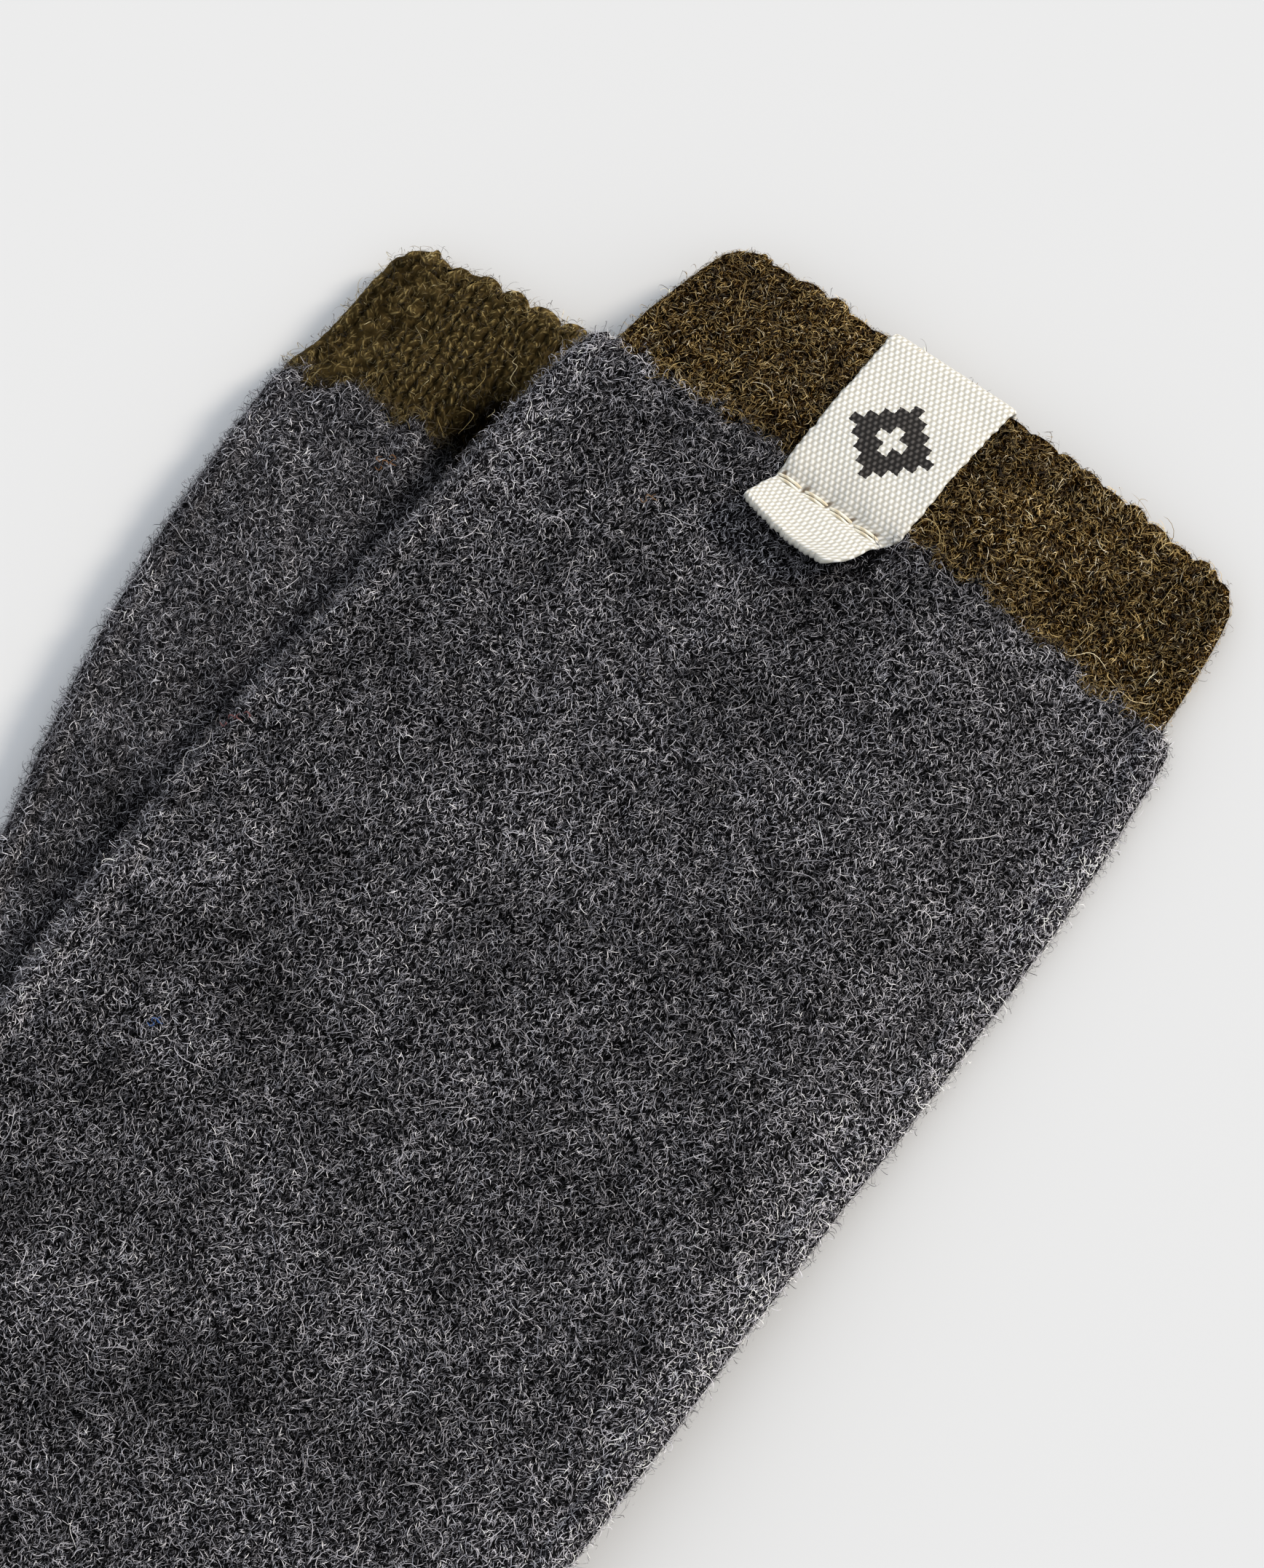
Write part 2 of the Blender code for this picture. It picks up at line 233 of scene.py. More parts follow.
def spline(rows: Array, places: Array) -> Array:
    """Points of the Catmull-Rom curve through some rows.

    Args:
        rows: the rows that the curve goes through.
        places: where the points lie, counted in rows from the first.

    Returns:
        One row for each place.
    """
    padded = np.vstack([rows[:1], rows, rows[-1:]])
    index = np.clip(places.astype(int), 0, len(rows) - 2)
    t = (places - index)[:, None]
    a, b, c, d = (padded[index + step] for step in range(4))
    curve = 2 * b + (c - a) * t + (2 * a - 5 * b + 4 * c - d) * t**2
    return 0.5 * (curve + (3 * b - a - 3 * c + d) * t**3)


def fill(tree: Any, node: Any, inputs: dict | tuple) -> None:
    """Sets or links a node's inputs.

    Args:
        tree: the node tree.
        node: the node.
        inputs: by an input's name or number, or in the inputs' order, what each is given: a value,
            a socket to link, or a node, which stands for its first output.
    """
    for key, value in inputs.items() if isinstance(inputs, dict) else enumerate(inputs):
        if isinstance(value, bpy.types.Node):
            value = value.outputs[0]
        if isinstance(value, bpy.types.NodeSocket):
            tree.links.new(value, node.inputs[key])
        else:
            node.inputs[key].default_value = value


def add_node(tree: Any, kind: str, inputs: dict | tuple = (), **settings: Any) -> Any:
    """Adds a node to a tree.

    Args:
        tree: the node tree.
        kind: the node's type name.
        inputs: what its inputs are given.
        **settings: the node's own properties.

    Returns:
        The node.
    """
    made = tree.nodes.new(kind)
    for key, value in settings.items():
        setattr(made, key, value)
    fill(tree, made, inputs)
    return made


class Ripple:
    """An uneven surface of height about 1: waves of many lengths and directions."""

    def __init__(self, seed: int, shortest: float, longest: float, waves: int = 28) -> None:
        """Draws the waves.

        Args:
            seed: sets the draw.
            shortest: the shortest wave, in millimetres.
            longest: the longest wave, in millimetres.
            waves: how many there are.
        """
        chance = np.random.default_rng(seed)
        lengths = np.exp(chance.uniform(math.log(shortest), math.log(longest), waves))
        turns = chance.uniform(0.0, 2 * math.pi, waves)
        self.rate_x = 2 * math.pi * np.cos(turns) / lengths
        self.rate_y = 2 * math.pi * np.sin(turns) / lengths
        self.start = chance.uniform(0.0, 2 * math.pi, waves)

    def at(self, x: Array, y: Array | float) -> Array:
        """Height at each point.

        Args:
            x: places across.
            y: places along.

        Returns:
            The heights.
        """
        total = np.zeros(np.broadcast(x, y).shape)
        for rate_x, rate_y, start in zip(self.rate_x, self.rate_y, self.start):
            total += np.cos(rate_x * x + rate_y * y + start)
        return total * math.sqrt(2.0 / len(self.start))


@dataclass(frozen=True)
class Crease:
    """A soft trough (height below 0) or ridge along a bowed line, in a sock's flat coordinates."""

    start: tuple[float, float]
    end: tuple[float, float]
    width: float
    height: float
    bow: float = 0.0

    def relief(self, x: Array, y: Array) -> Array:
        """Height that the crease adds at each point.

        Args:
            x: the sock's flat coordinate across.
            y: the sock's flat coordinate along.

        Returns:
            The heights.
        """
        run_x, run_y = self.end[0] - self.start[0], self.end[1] - self.start[1]
        length = math.hypot(run_x, run_y)
        from_x, from_y = x - self.start[0], y - self.start[1]
        along = (from_x * run_x + from_y * run_y) / length**2
        hump = np.clip(4.0 * along * (1.0 - along), 0.0, 1.0)
        aside = (from_y * run_x - from_x * run_y) / length - self.bow * hump
        return self.height * np.sqrt(hump) * bell(aside, 0.0, self.width)


@dataclass(frozen=True)
class Bend:
    """A stretch of the leg, between two depths below its seam, that turns anticlockwise."""

    start: float
    end: float
    degrees: float


@dataclass(frozen=True)
class Lay:
    """How a sock lies: its seam's middle, its cuff's shift and turn, and its leg's bends."""

    sock: Sock
    seam: tuple[float, float]
    cuff_shift: float
    turn: float
    bends: tuple[Bend, ...]

    def laid(self, x: Array, y: Array) -> Array:
        """Where points of the flat sock lie.

        Args:
            x: across, from the middle of the leg.
            y: up, from the seam.

        Returns:
            The points' x and y in the part's frame, in a last axis of two.
        """
        depth = -np.asarray(y, float)
        middle_x, middle_y = np.full(depth.shape, self.seam[0]), np.full(depth.shape, self.seam[1])
        heading = math.radians(self.turn)
        headings = np.full(depth.shape, heading)
        done, lowest = 0.0, -math.inf
        for bend in self.bends:
            straight = np.clip(depth, lowest, bend.start) - done
            straight = straight if lowest == -math.inf else np.maximum(straight, 0.0)
            full = math.radians(bend.degrees)
            length = bend.end - bend.start
            turned = full * np.clip((depth - bend.start) / length, 0.0, 1.0)
            chord = 2 * length / full * np.sin(turned / 2)
            middle_x += straight * math.sin(heading) + chord * np.sin(heading + turned / 2)
            middle_y -= straight * math.cos(heading) + chord * np.cos(heading + turned / 2)
            headings += turned
            heading += full
            done = lowest = bend.end
        rest = np.maximum(depth - done, 0.0)
        middle_x += rest * math.sin(heading)
        middle_y -= rest * math.cos(heading)
        return np.stack([middle_x + x * np.cos(headings), middle_y + x * np.sin(headings)], axis=-1)

    def outline(self) -> Array:
        """The closed line round the sock as it lies, seen from above.

        Returns:
            A row of x and y for each point.
        """
        body = spline(BODY_SECTIONS, np.arange(0.0, len(BODY_SECTIONS) - 0.75, 0.5))
        cuff_y = SEAM_GAP / 2 + (CUFF_HEIGHT - SEAM_GAP / 2) * CUFF_SECTIONS[::-1, 0]
        half = CUFF_SECTIONS[::-1, 1]
        back = np.vstack([self.laid(self.cuff_shift - half, cuff_y), self.laid(body[:, 0], body[:, 1])])
        front = np.vstack([self.laid(self.cuff_shift + half, cuff_y), self.laid(body[:, 2], body[:, 3])])
        return np.vstack([back, front[::-1]])


LOWER_LAY = Lay(
    Sock.LOWER, (-106.5, 167.5), -1.6, 4.3, (Bend(15.0, 60.0, 12.0), Bend(85.0, 180.0, -8.5))
)
UPPER_LAY = Lay(Sock.UPPER, (-74.0, 186.5), 0.0, -2.5, (Bend(75.0, 110.0, 2.5),))


def depth_inside(outline: Array, points: Array) -> Array:
    """How far points lie inside a closed line, below 0 for those outside it.

    Args:
        outline: the line's corners.
        points: the points, in a last axis of two.

    Returns:
        The distance of each.
    """
    flat = points.reshape(-1, 2)
    nearest = np.full(len(flat), math.inf)
    inside = np.zeros(len(flat), bool)
    for start, end in zip(outline, np.roll(outline, -1, axis=0)):
        run = end - start
        share = np.clip((flat - start) @ run / max(run @ run, 1e-12), 0.0, 1.0)
        away = flat - start - share[:, None] * run
        nearest = np.minimum(nearest, np.hypot(away[:, 0], away[:, 1]))
        if start[1] != end[1]:
            crosses = (start[1] > flat[:, 1]) != (end[1] > flat[:, 1])
            at_x = start[0] + run[0] * (flat[:, 1] - start[1]) / run[1]
            inside ^= crosses & (flat[:, 0] < at_x)
    return np.where(inside, nearest, -nearest).reshape(points.shape[:-1])


@dataclass(frozen=True)
class Ground:
    """What a sock lies on: the bare surface, or the surface with the other sock on it."""

    under: Lay | None = None

    def level(self, points: Array) -> Array:
        """Height of the ground under each point.

        Args:
            points: rows of x and y.

        Returns:
            The heights.
        """
        if self.under is None:
            return np.zeros(points.shape[:-1])
        away = -depth_inside(self.under.outline(), points)
        return (BODY_THICKNESS + REST_GAP) * (1.0 - smooth_step(away / DRAPE_REACH))


@dataclass(frozen=True)
class Loop:
    """The points once round a flattened tube, whatever its width and however deep in its wall.

    A point lies at share * half_width + inset + out_x * radius across and at
    thickness / 2 + out_z * radius up, where radius is the round fold's.
    """

    thickness: float
    share: Array
    inset: Array
    out_x: Array
    out_z: Array

    @classmethod
    def drawn(cls, thickness: float, columns: int, below: int, sides: tuple[float, ...]) -> "Loop":
        """Lays out the points.

        Args:
            thickness: of the flattened tube.
            columns: steps across the middle of the upper layer.
            below: steps across the lower layer.
            sides: insets from the tube's side of the upper layer's outer columns, growing.

        Returns:
            The loop, from the bottom of the left fold over the top.
        """
        turn = np.linspace(0.0, math.pi, FOLD_STEPS + 1)
        middle = np.linspace(-1.0, 1.0, columns + 1)[1:-1]
        lower = np.linspace(1.0, -1.0, below + 1)[1:-1]
        edge = np.array(sides)
        ones, flat = np.ones(len(turn)), np.ones(len(edge))
        radius = thickness / 2
        share = [-ones, -flat, middle, flat, ones, lower]
        inset = [ones * radius, edge, -sides[-1] * middle, -edge[::-1], -ones * radius, -radius * lower]
        out_x = [-np.sin(turn), 0 * flat, 0 * middle, 0 * flat, np.sin(turn), 0 * lower]
        out_z = [-np.cos(turn), flat, 1 + 0 * middle, flat, np.cos(turn), -1 + 0 * lower]
        return cls(thickness, *(np.concatenate(part) for part in (share, inset, out_x, out_z)))

    def across(self, half_width: Array, wall: Array | float = 0.0) -> Array:
        """Places across, a row for each half width, at a depth in the wall."""
        radius = self.thickness / 2 - np.asarray(wall, float)
        return self.share * half_width[:, None] + self.inset + self.out_x * np.atleast_1d(radius)[:, None]

    def up(self, wall: Array | float = 0.0) -> Array:
        """Heights, at a depth in the wall."""
        radius = self.thickness / 2 - np.asarray(wall, float)
        return self.thickness / 2 + self.out_z * np.atleast_1d(radius)[:, None]

    @property
    def upward(self) -> Array:
        """1 on the layer that faces up, 0 on the one below, and between them on the folds."""
        return (1.0 + self.out_z) / 2


def fold_edge(loop: Loop) -> Array:
    """1 where the side folds turn away from above, 0 on the flat layers."""
    return smooth_step((np.abs(loop.out_x) - 0.3) / 0.4) * smooth_step(4.0 * loop.upward)


def under_label(x: Array, y: Array) -> Array:
    """Whether places on the upper sock, in its flat coordinates, lie under the tape."""
    return (np.abs(x - COVERED_X) < COVERED_HALF) & (y > COVERED_Y[0]) & (y < COVERED_Y[1])


def away_from(over: Lay | None, lying: Array) -> Array:
    """How far points lie outside the sock on top, or a long way where there is none.

    Args:
        over: the lay of the sock on top, if there is one.
        lying: rows of points, seen from above.

    Returns:
        The distances.
    """
    if over is None:
        return np.full(lying.shape[:-1], NOT_COVERED)
    return -depth_inside(over.outline(), lying)


def hollows(creases: tuple[Crease, ...], x: Array, y: Array) -> Array:
    """What creases add to the height at places in a sock's flat coordinates."""
    return sum((crease.relief(x, y) for crease in creases), np.zeros(np.broadcast(x, y).shape))


def painted_shading(hollow: Array, away: Array, most: float = 0.5) -> Array:
    """Painted shade: darker in a trough and, by most, beside the sock on top, where a most below 0 gives
    painted light instead.
    """
    trough = np.clip(1.0 + 0.6 * np.minimum(hollow, 0.0), 0.07, 1.0)
    return trough * (1.0 - most * bell(away, 0.0, SHADE_REACH))


def unit(vectors: Array) -> Array:
    """Vectors, in a last axis, at a length of 1."""
    return vectors / np.maximum(np.linalg.norm(vectors, axis=-1, keepdims=True), 1e-9)


def ring_faces(rings: Array) -> list[tuple[int, ...]]:
    """Faces between each ring of point numbers and the next, outwards if the rings go down the leg.

    Args:
        rings: a row of point numbers for each ring.

    Returns:
        The faces, of four corners each.
    """
    here, after = rings[:-1], rings[1:]
    corners = np.stack([here, after, np.roll(after, -1, axis=1), np.roll(here, -1, axis=1)], axis=-1)
    return corners.reshape(-1, 4).tolist()


def new_object(name: str, data: Any) -> Piece:
    """Makes an object and puts it in the scene.

    Args:
        name: what it is called.
        data: its mesh, its light or its camera.

    Returns:
        The object.
    """
    made = bpy.data.objects.new(name, data)
    bpy.context.scene.collection.objects.link(made)
    return made


def mesh_object(
    name: str, points: Array, faces: list, material: Material | None = None, values: Values | None = None
) -> Piece:
    """Makes an object from points in millimetres.

    Args:
        name: of the object.
        points: its vertices.
        faces: the point numbers of each face.
        material: its finish.
        values: numbers or vectors to keep at the vertices.

    Returns:
        The object, shaded smooth, at the origin.
    """
    mesh = bpy.data.meshes.new(name)
    mesh.from_pydata((points * MM).tolist(), [], faces)
    for key, value in (values or {}).items():
        kind, field = ("FLOAT", "value") if value.ndim == 1 else ("FLOAT_VECTOR", "vector")
        mesh.attributes.new(key, kind, "POINT").data.foreach_set(field, value.astype(np.float32).ravel())
    mesh.shade_smooth()
    if material:
        mesh.materials.append(material)
    return new_object(name, mesh)


def keep_map(piece: Piece, name: str, corners: Array) -> None:
    """Keeps a map on a piece, with a place for each corner of its faces."""
    piece.data.uv_layers.new(name=name).data.foreach_set("uv", corners.astype(np.float32).ravel())


def places_of(piece: Piece) -> Array:
    """A piece's vertices, in metres.

    Args:
        piece: the piece.

    Returns:
        A row of x, y and z for each vertex.
    """
    flat = np.empty(3 * len(piece.data.vertices), np.float32)
    piece.data.vertices.foreach_get("co", flat)
    return flat.reshape(-1, 3)


def new_group(name: str, inputs: dict[str, str]) -> tuple[Any, Any]:
    """Makes a tree of geometry nodes.

    Args:
        name: of the tree.
        inputs: the type of each named input.

    Returns:
        The tree, and the sockets that its inputs come in by.
    """
    tree = bpy.data.node_groups.new(name, "GeometryNodeTree")
    for label, kind in inputs.items():
        tree.interface.new_socket(label, in_out="INPUT", socket_type="NodeSocket" + kind)
    tree.interface.new_socket("Geometry", in_out="OUTPUT", socket_type="NodeSocketGeometry")
    return tree, add_node(tree, "NodeGroupInput").outputs


def grown(host: Piece, tree: Any, values: dict[str, Any]) -> Piece:
    """Runs a tree on a host and makes what comes out an object of its own, in the host's place.

    Args:
        host: what the tree starts from, which is removed.
        tree: the tree, which gives the object its name.
        values: of the tree's named inputs.

    Returns:
        The object.
    """
    modifier = host.modifiers.new(tree.name, "NODES")
    modifier.node_group = tree
    for item in tree.interface.items_tree:
        if item.in_out == "INPUT" and item.name in values:
            modifier[item.identifier] = values[item.name]
    graph = bpy.context.evaluated_depsgraph_get()
    mesh = bpy.data.meshes.new_from_object(host.evaluated_get(graph), depsgraph=graph)
    mesh.name = tree.name
    bpy.data.objects.remove(host)
    return new_object(tree.name, mesh)


# --- Finishes -------------------------------------------------------------------------------------


def set_ramp(node: Any, stops: Stops, smooth: bool = True) -> None:
    """Sets the stops of a colour ramp's node from places and hex colours.

    Args:
        node: the ramp's node.
        stops: places and hex colours.
        smooth: whether a shade eases into the next.
    """
    ramp = node.color_ramp
    ramp.interpolation = "EASE" if smooth else "LINEAR"
    while len(ramp.elements) < len(stops):
        ramp.elements.new(1.0)
    for element, (place, code) in zip(ramp.elements, stops):
        element.position, element.color = place, linear(code)


def new_finish(name: str) -> tuple[Material, Any, Any]:
    """A new material, its node tree and its shader.

    Args:
        name: what the material is called.

    Returns:
        The three of them.
    """
    material = bpy.data.materials.new(name)
    material.use_nodes = True
    return material, material.node_tree, material.node_tree.nodes["Principled BSDF"]


@dataclass(frozen=True)
class Wool:
    """A mélange yarn: cloudy light and dark patches along the leg, with small pale neps."""

    name: str
    patch_low: float
    patch_high: float
    leg_degrees: float

    def space(self, tree: Any) -> Any:
        """Object coordinates in millimetres, with Y up the leg.

        Args:
            tree: the material's node tree.

        Returns:
            The coordinates, as a node.
        """
        place = add_node(tree, "ShaderNodeTexCoord").outputs["Object"]
        turned = {"Rotation": (0.0, 0.0, math.radians(-self.leg_degrees)), "Scale": (1e3, 1e3, 1e3)}
        return add_node(tree, "ShaderNodeMapping", {"Vector": place, **turned})

    def mottled(self, tree: Any, space: Any, colour: Any) -> Any:
        """Gives a colour the yarn's patches and neps, and scales it by the painted light and shade that the
        shell carries.

        Args:
            tree: the node tree.
            space: coordinates in millimetres.
            colour: the plain colour.

        Returns:
            The node of the mottled colour.
        """
        clouds = {"Vector": space, "Scale": 0.5 / PATCH, "Detail": 3.0, "Roughness": 0.7}
        cloud = add_node(tree, NOISE, clouds)
        spread = add_node(tree, MAP_RANGE, (cloud.outputs["Fac"], 0.3, 0.7, self.patch_low, self.patch_high))
        knot = add_node(tree, VORONOI, {"Vector": space, "Scale": 1.0 / NEP_SPACING})
        nep = add_node(tree, MAP_RANGE, (knot.outputs["Distance"], 0.13, 0.04, 0.0, 0.7))
        pale = add_node(tree, MATH, (spread, nep), operation="ADD")
        painted_light = add_node(tree, ATTRIBUTE, attribute_name=PAINTED_LIGHT_AND_SHADE).outputs["Fac"]
        bright = add_node(tree, MATH, (pale, painted_light), operation="MULTIPLY")
        shaded = add_node(tree, VECTOR_MATH, {0: colour, "Scale": bright}, operation="SCALE")
        return add_node(tree, VECTOR_MATH, (shaded, WHITEST), operation="MINIMUM")


@dataclass(frozen=True)
class FeltedWool(Wool):
    """Carded wool yarn, knitted, then fulled and brushed: a dense mat of curled fibres.

    It gives the eye dark gaps between many pale strands, soft patches a few millimetres wide, and
    no gloss at all. Where no coat of fibres stands on it, it has their shades.
    """

    under_coat: Shades
    bare: Shades
    locks: tuple[float, ...] = (0.9, 0.7, 0.55)
    spacing: float = 0.3
    swing: float = 1.3
    bow: float = 0.9
    relief: float = 0.25

    def material(self) -> Material:
        """Builds the material.

        Returns:
            The material.
        """
        material, tree, shader = new_finish(self.name)
        space = self.space(tree)
        tone = self.strands(tree, space, self.locks[0], 0.0)
        for layer, size in enumerate(self.locks[1:], 1):
            over = self.strands(tree, space, size, 37.0 * layer)
            tone = add_node(tree, MATH, (tone, over), operation="MAXIMUM")
        ramps = [add_node(tree, RAMP, (tone,)) for _ in range(2)]
        for ramp, shades in zip(ramps, (self.under_coat, self.bare)):
            set_ramp(ramp, tuple(zip((0.0, 0.5, 1.0), shades)), smooth=False)
        bare = add_node(tree, ATTRIBUTE, attribute_name=BARE).outputs["Fac"]
        wool = add_node(tree, MIX, {0: bare, 6: ramps[0], 7: ramps[1]}, data_type="RGBA").outputs[2]
        bump = add_node(tree, BUMP, {"Height": tone, "Distance": self.relief * MM, "Strength": 0.8})
        colour = self.mottled(tree, space, wool)
        matt = {"Roughness": 0.95, "Specular IOR Level": 0.0}
        fill(tree, shader, {"Base Color": colour, "Normal": bump, **matt})
        return material

    def strands(self, tree: Any, space: Any, size: float, seed: float) -> Any:
        """One layer of small locks, each of bowed strands side by side.

        Args:
            tree: the node tree.
            space: coordinates in millimetres.
            size: how wide a lock is, in millimetres.
            seed: moves the layer, so that no two are alike.

        Returns:
            The node of the brightness: 0 in the gaps and up to 1 on a pale strand.
        """
        moved = add_node(tree, VECTOR_MATH, (space, (seed, -seed, 0.0)), operation="ADD")
        lock = add_node(tree, VORONOI, {"Vector": moved, "Scale": 1.0 / size}).outputs
        chance = add_node(tree, SEPARATE, (lock["Color"],)).outputs
        away = add_node(tree, VECTOR_MATH, (moved, lock["Position"]), operation="SUBTRACT")
        angle, bow = (
            add_node(tree, MATH, (chance[axis], 2 * most, -most), operation="MULTIPLY_ADD")
            for axis, most in (("X", self.swing), ("Y", self.bow))
        )
        turning = {"Vector": away, "Angle": angle}
        turned = add_node(tree, "ShaderNodeVectorRotate", turning, rotation_type="Z_AXIS")
        place = add_node(tree, SEPARATE, (turned,)).outputs
        square = add_node(tree, MATH, (place["Y"], place["Y"]), operation="MULTIPLY")
        aside = add_node(tree, MATH, (square, bow, place["X"]), operation="MULTIPLY_ADD")
        rate = 2 * math.pi / self.spacing
        phase = add_node(tree, MATH, (aside, rate, chance["Z"]), operation="MULTIPLY_ADD")
        wave = add_node(tree, MATH, (phase,), operation="COSINE")
        line = add_node(tree, MAP_RANGE, (wave, 0.1, 0.95), interpolation_type="SMOOTHSTEP")
        pale = add_node(tree, MAP_RANGE, {"Value": chance["Z"], "To Min": 0.3})
        fade = add_node(tree, MAP_RANGE, (lock["Distance"], 0.6, 0.25), interpolation_type="SMOOTHSTEP")
        shaded = add_node(tree, MATH, (line, pale), operation="MULTIPLY")
        return add_node(tree, MATH, (shaded, fade), operation="MULTIPLY")


@dataclass(frozen=True)
class WoolFibre(Wool):
    """Single wool fibres that stand off the felt, each in its own shade of the mélange.

    They give the eye the pale strokes over the dark mat and the haze along every edge.
    """

    shades: Stops

    def material(self) -> Material:
        """Builds the material: the tone map's u is the fibre's shade, and v runs along it.

        Returns:
            The material.
        """
        material, tree, shader = new_finish(self.name)
        strip = add_node(tree, UV_MAP, uv_map=TONE_MAP)
        ramp = add_node(tree, RAMP, (add_node(tree, SEPARATE, (strip,)),))
        set_ramp(ramp, self.shades, smooth=False)
        colour = self.mottled(tree, self.space(tree), ramp)
        fill(tree, shader, {"Base Color": colour, "Roughness": 0.7, "Specular IOR Level": 0.25})
        return material


@dataclass(frozen=True)
class DyedFleck:
    """A stray fibre of some other dyed wool that was carded in: one flat matt colour."""

    name: str
    colour: str

    def material(self) -> Material:
        """Builds the material.

        Returns:
            The material.
        """
        material, tree, shader = new_finish(self.name)
        fill(tree, shader, {"Base Color": linear(self.colour), "Roughness": 0.9, "Specular IOR Level": 0.1})
        return material


@dataclass(frozen=True)
class WovenTape:
    """Undyed cotton tape in a plain weave of thick soft yarns, with a dark printed motif.

    It gives the eye rows of small bright bumps with warm grey between them, and no shine.
    """

    sewn_run: float
    name: str = "woven_cotton_tape"
    warp: float = 0.44
    weft: float = 0.82
    crest: str = "#E0DED8"
    hollow: str = "#A8A498"
    ink_crest: str = "#504D4B"
    ink_hollow: str = "#1F1D1C"
    # Colour of the needle holes and of the painted shade above the stitch line.
    hole_and_shade_colour: str = "#5A4B38"
    motif_middle: tuple[float, float] = (10.2, 38.2)
    motif_cell: float = 1.5

    def material(self) -> Material:
        """Builds the material on the tape's own map, in millimetres across and along.

        Returns:
            The material.
        """
        material, tree, shader = new_finish(self.name)
        place = add_node(tree, UV_MAP, uv_map=TAPE_MAP)
        fluff = add_node(tree, NOISE, {"Vector": place, "Scale": 1.9, "Detail": 3.0}).outputs
        frayed = (fluff["Color"], (0.12, 0.12, 0.0), place)
        loose = add_node(tree, VECTOR_MATH, frayed, operation="MULTIPLY_ADD")
        parts = add_node(tree, SEPARATE, (loose,)).outputs
        turns = (
            add_node(tree, MATH, (parts[axis], math.pi / yarn), operation="MULTIPLY")
            for axis, yarn in (("X", self.warp), ("Y", self.weft))
        )
        warp, weft = (add_node(tree, MATH, (turn,), operation="SINE") for turn in turns)
        cross = add_node(tree, MATH, (warp, weft), operation="MULTIPLY")
        row = add_node(tree, MATH, (weft,), operation="ABSOLUTE")
        height = 0.12
        for part, share in ((cross, 0.42), (row, 0.28), (fluff["Fac"], 0.25)):
            height = add_node(tree, MATH, (part, share, height), operation="MULTIPLY_ADD")
        cloth, ink = (add_node(tree, RAMP, (height,)) for _ in range(2))
        set_ramp(cloth, ((0.05, self.hollow), (0.75, self.crest)))
        set_ramp(ink, ((0.2, self.ink_hollow), (0.95, self.ink_crest)))
        printed, hole_and_shade_colour = self.motif(tree, parts, fluff["Fac"]), self.holes_and_shade(tree, place)
        colour = cloth
        for where, shade in ((printed, ink), (hole_and_shade_colour, linear(self.hole_and_shade_colour))):
            colour = add_node(tree, MIX, {0: where, 6: colour, 7: shade}, data_type="RGBA").outputs[2]
        bump = add_node(tree, BUMP, {"Height": height, "Distance": 0.2 * MM, "Strength": 0.85})
        matt = {"Roughness": 0.85, "Specular IOR Level": 0.1}
        fill(tree, shader, {"Base Color": colour, "Normal": bump, **matt})
        return material

    def holes_and_shade(self, tree: Any, place: Any) -> Any:
        """The needle's holes, one where each stitch meets the next, and painted shade on the cloth above
        them, darker towards the valley that the stitches pull in.

        Args:
            tree: the node tree.
            place: the node of the place across and along.

        Returns:
            The node that is near 1 in a hole.
        """
        start = (-STITCH_START, 0.45 - self.sewn_run, 0.0)
        moved = add_node(tree, VECTOR_MATH, (place, start), operation="ADD")
        parts = add_node(tree, SEPARATE, (moved,)).outputs
        fold = add_node(tree, MATH, (parts["X"], STITCH / 2), operation="PINGPONG")
        flat = add_node(tree, MATH, (parts["Y"], 0.6), operation="MULTIPLY")
        near = add_node(tree, COMBINE, (fold, flat))
        away = add_node(tree, VECTOR_MATH, (near,), operation="LENGTH").outputs["Value"]
        hole = add_node(tree, MAP_RANGE, (away, 0.66, 0.2, 0.0, 0.9), interpolation_type="SMOOTHSTEP")
        rise, fall = (
            add_node(tree, MAP_RANGE, (parts["Y"], low, high, 0.0, top))
            for low, high, top in ((-8.0, -0.6, 0.17), (0.6, 0.0, 1.0))
        )
        # Painted shade, darker towards the stitch line's valley.
        valley_shade = add_node(tree, MATH, (rise, fall), operation="MULTIPLY")
        return add_node(tree, MATH, (hole, valley_shade), operation="MAXIMUM")

    def motif(self, tree: Any, parts: Any, fluff: Any) -> Any:
        """A stepped lozenge with an open middle, charted on square cells.

        Args:
            tree: the node tree.
            parts: the sockets with the place across and along.
            fluff: unevenness that frays the print's edge.

        Returns:
            The node that is 1 where the ink lies.
        """
        steps = []
        for axis, middle in zip("XY", self.motif_middle):
            step = add_node(tree, MATH, (fluff, 0.4, -middle - 0.2), operation="MULTIPLY_ADD")
            step = add_node(tree, MATH, (parts[axis], step), operation="ADD")
            step = add_node(tree, MATH, (step, self.motif_cell), operation="DIVIDE")
            for operation in ("ROUND", "ABSOLUTE"):
                step = add_node(tree, MATH, (step,), operation=operation)
            steps.append(step)
        ring = add_node(tree, MATH, tuple(steps), operation="ADD")
        within = add_node(tree, MATH, (ring, 4.5), operation="LESS_THAN")
        beyond = add_node(tree, MATH, (ring, 1.5), operation="GREATER_THAN")
        return add_node(tree, MATH, (within, beyond), operation="MULTIPLY")


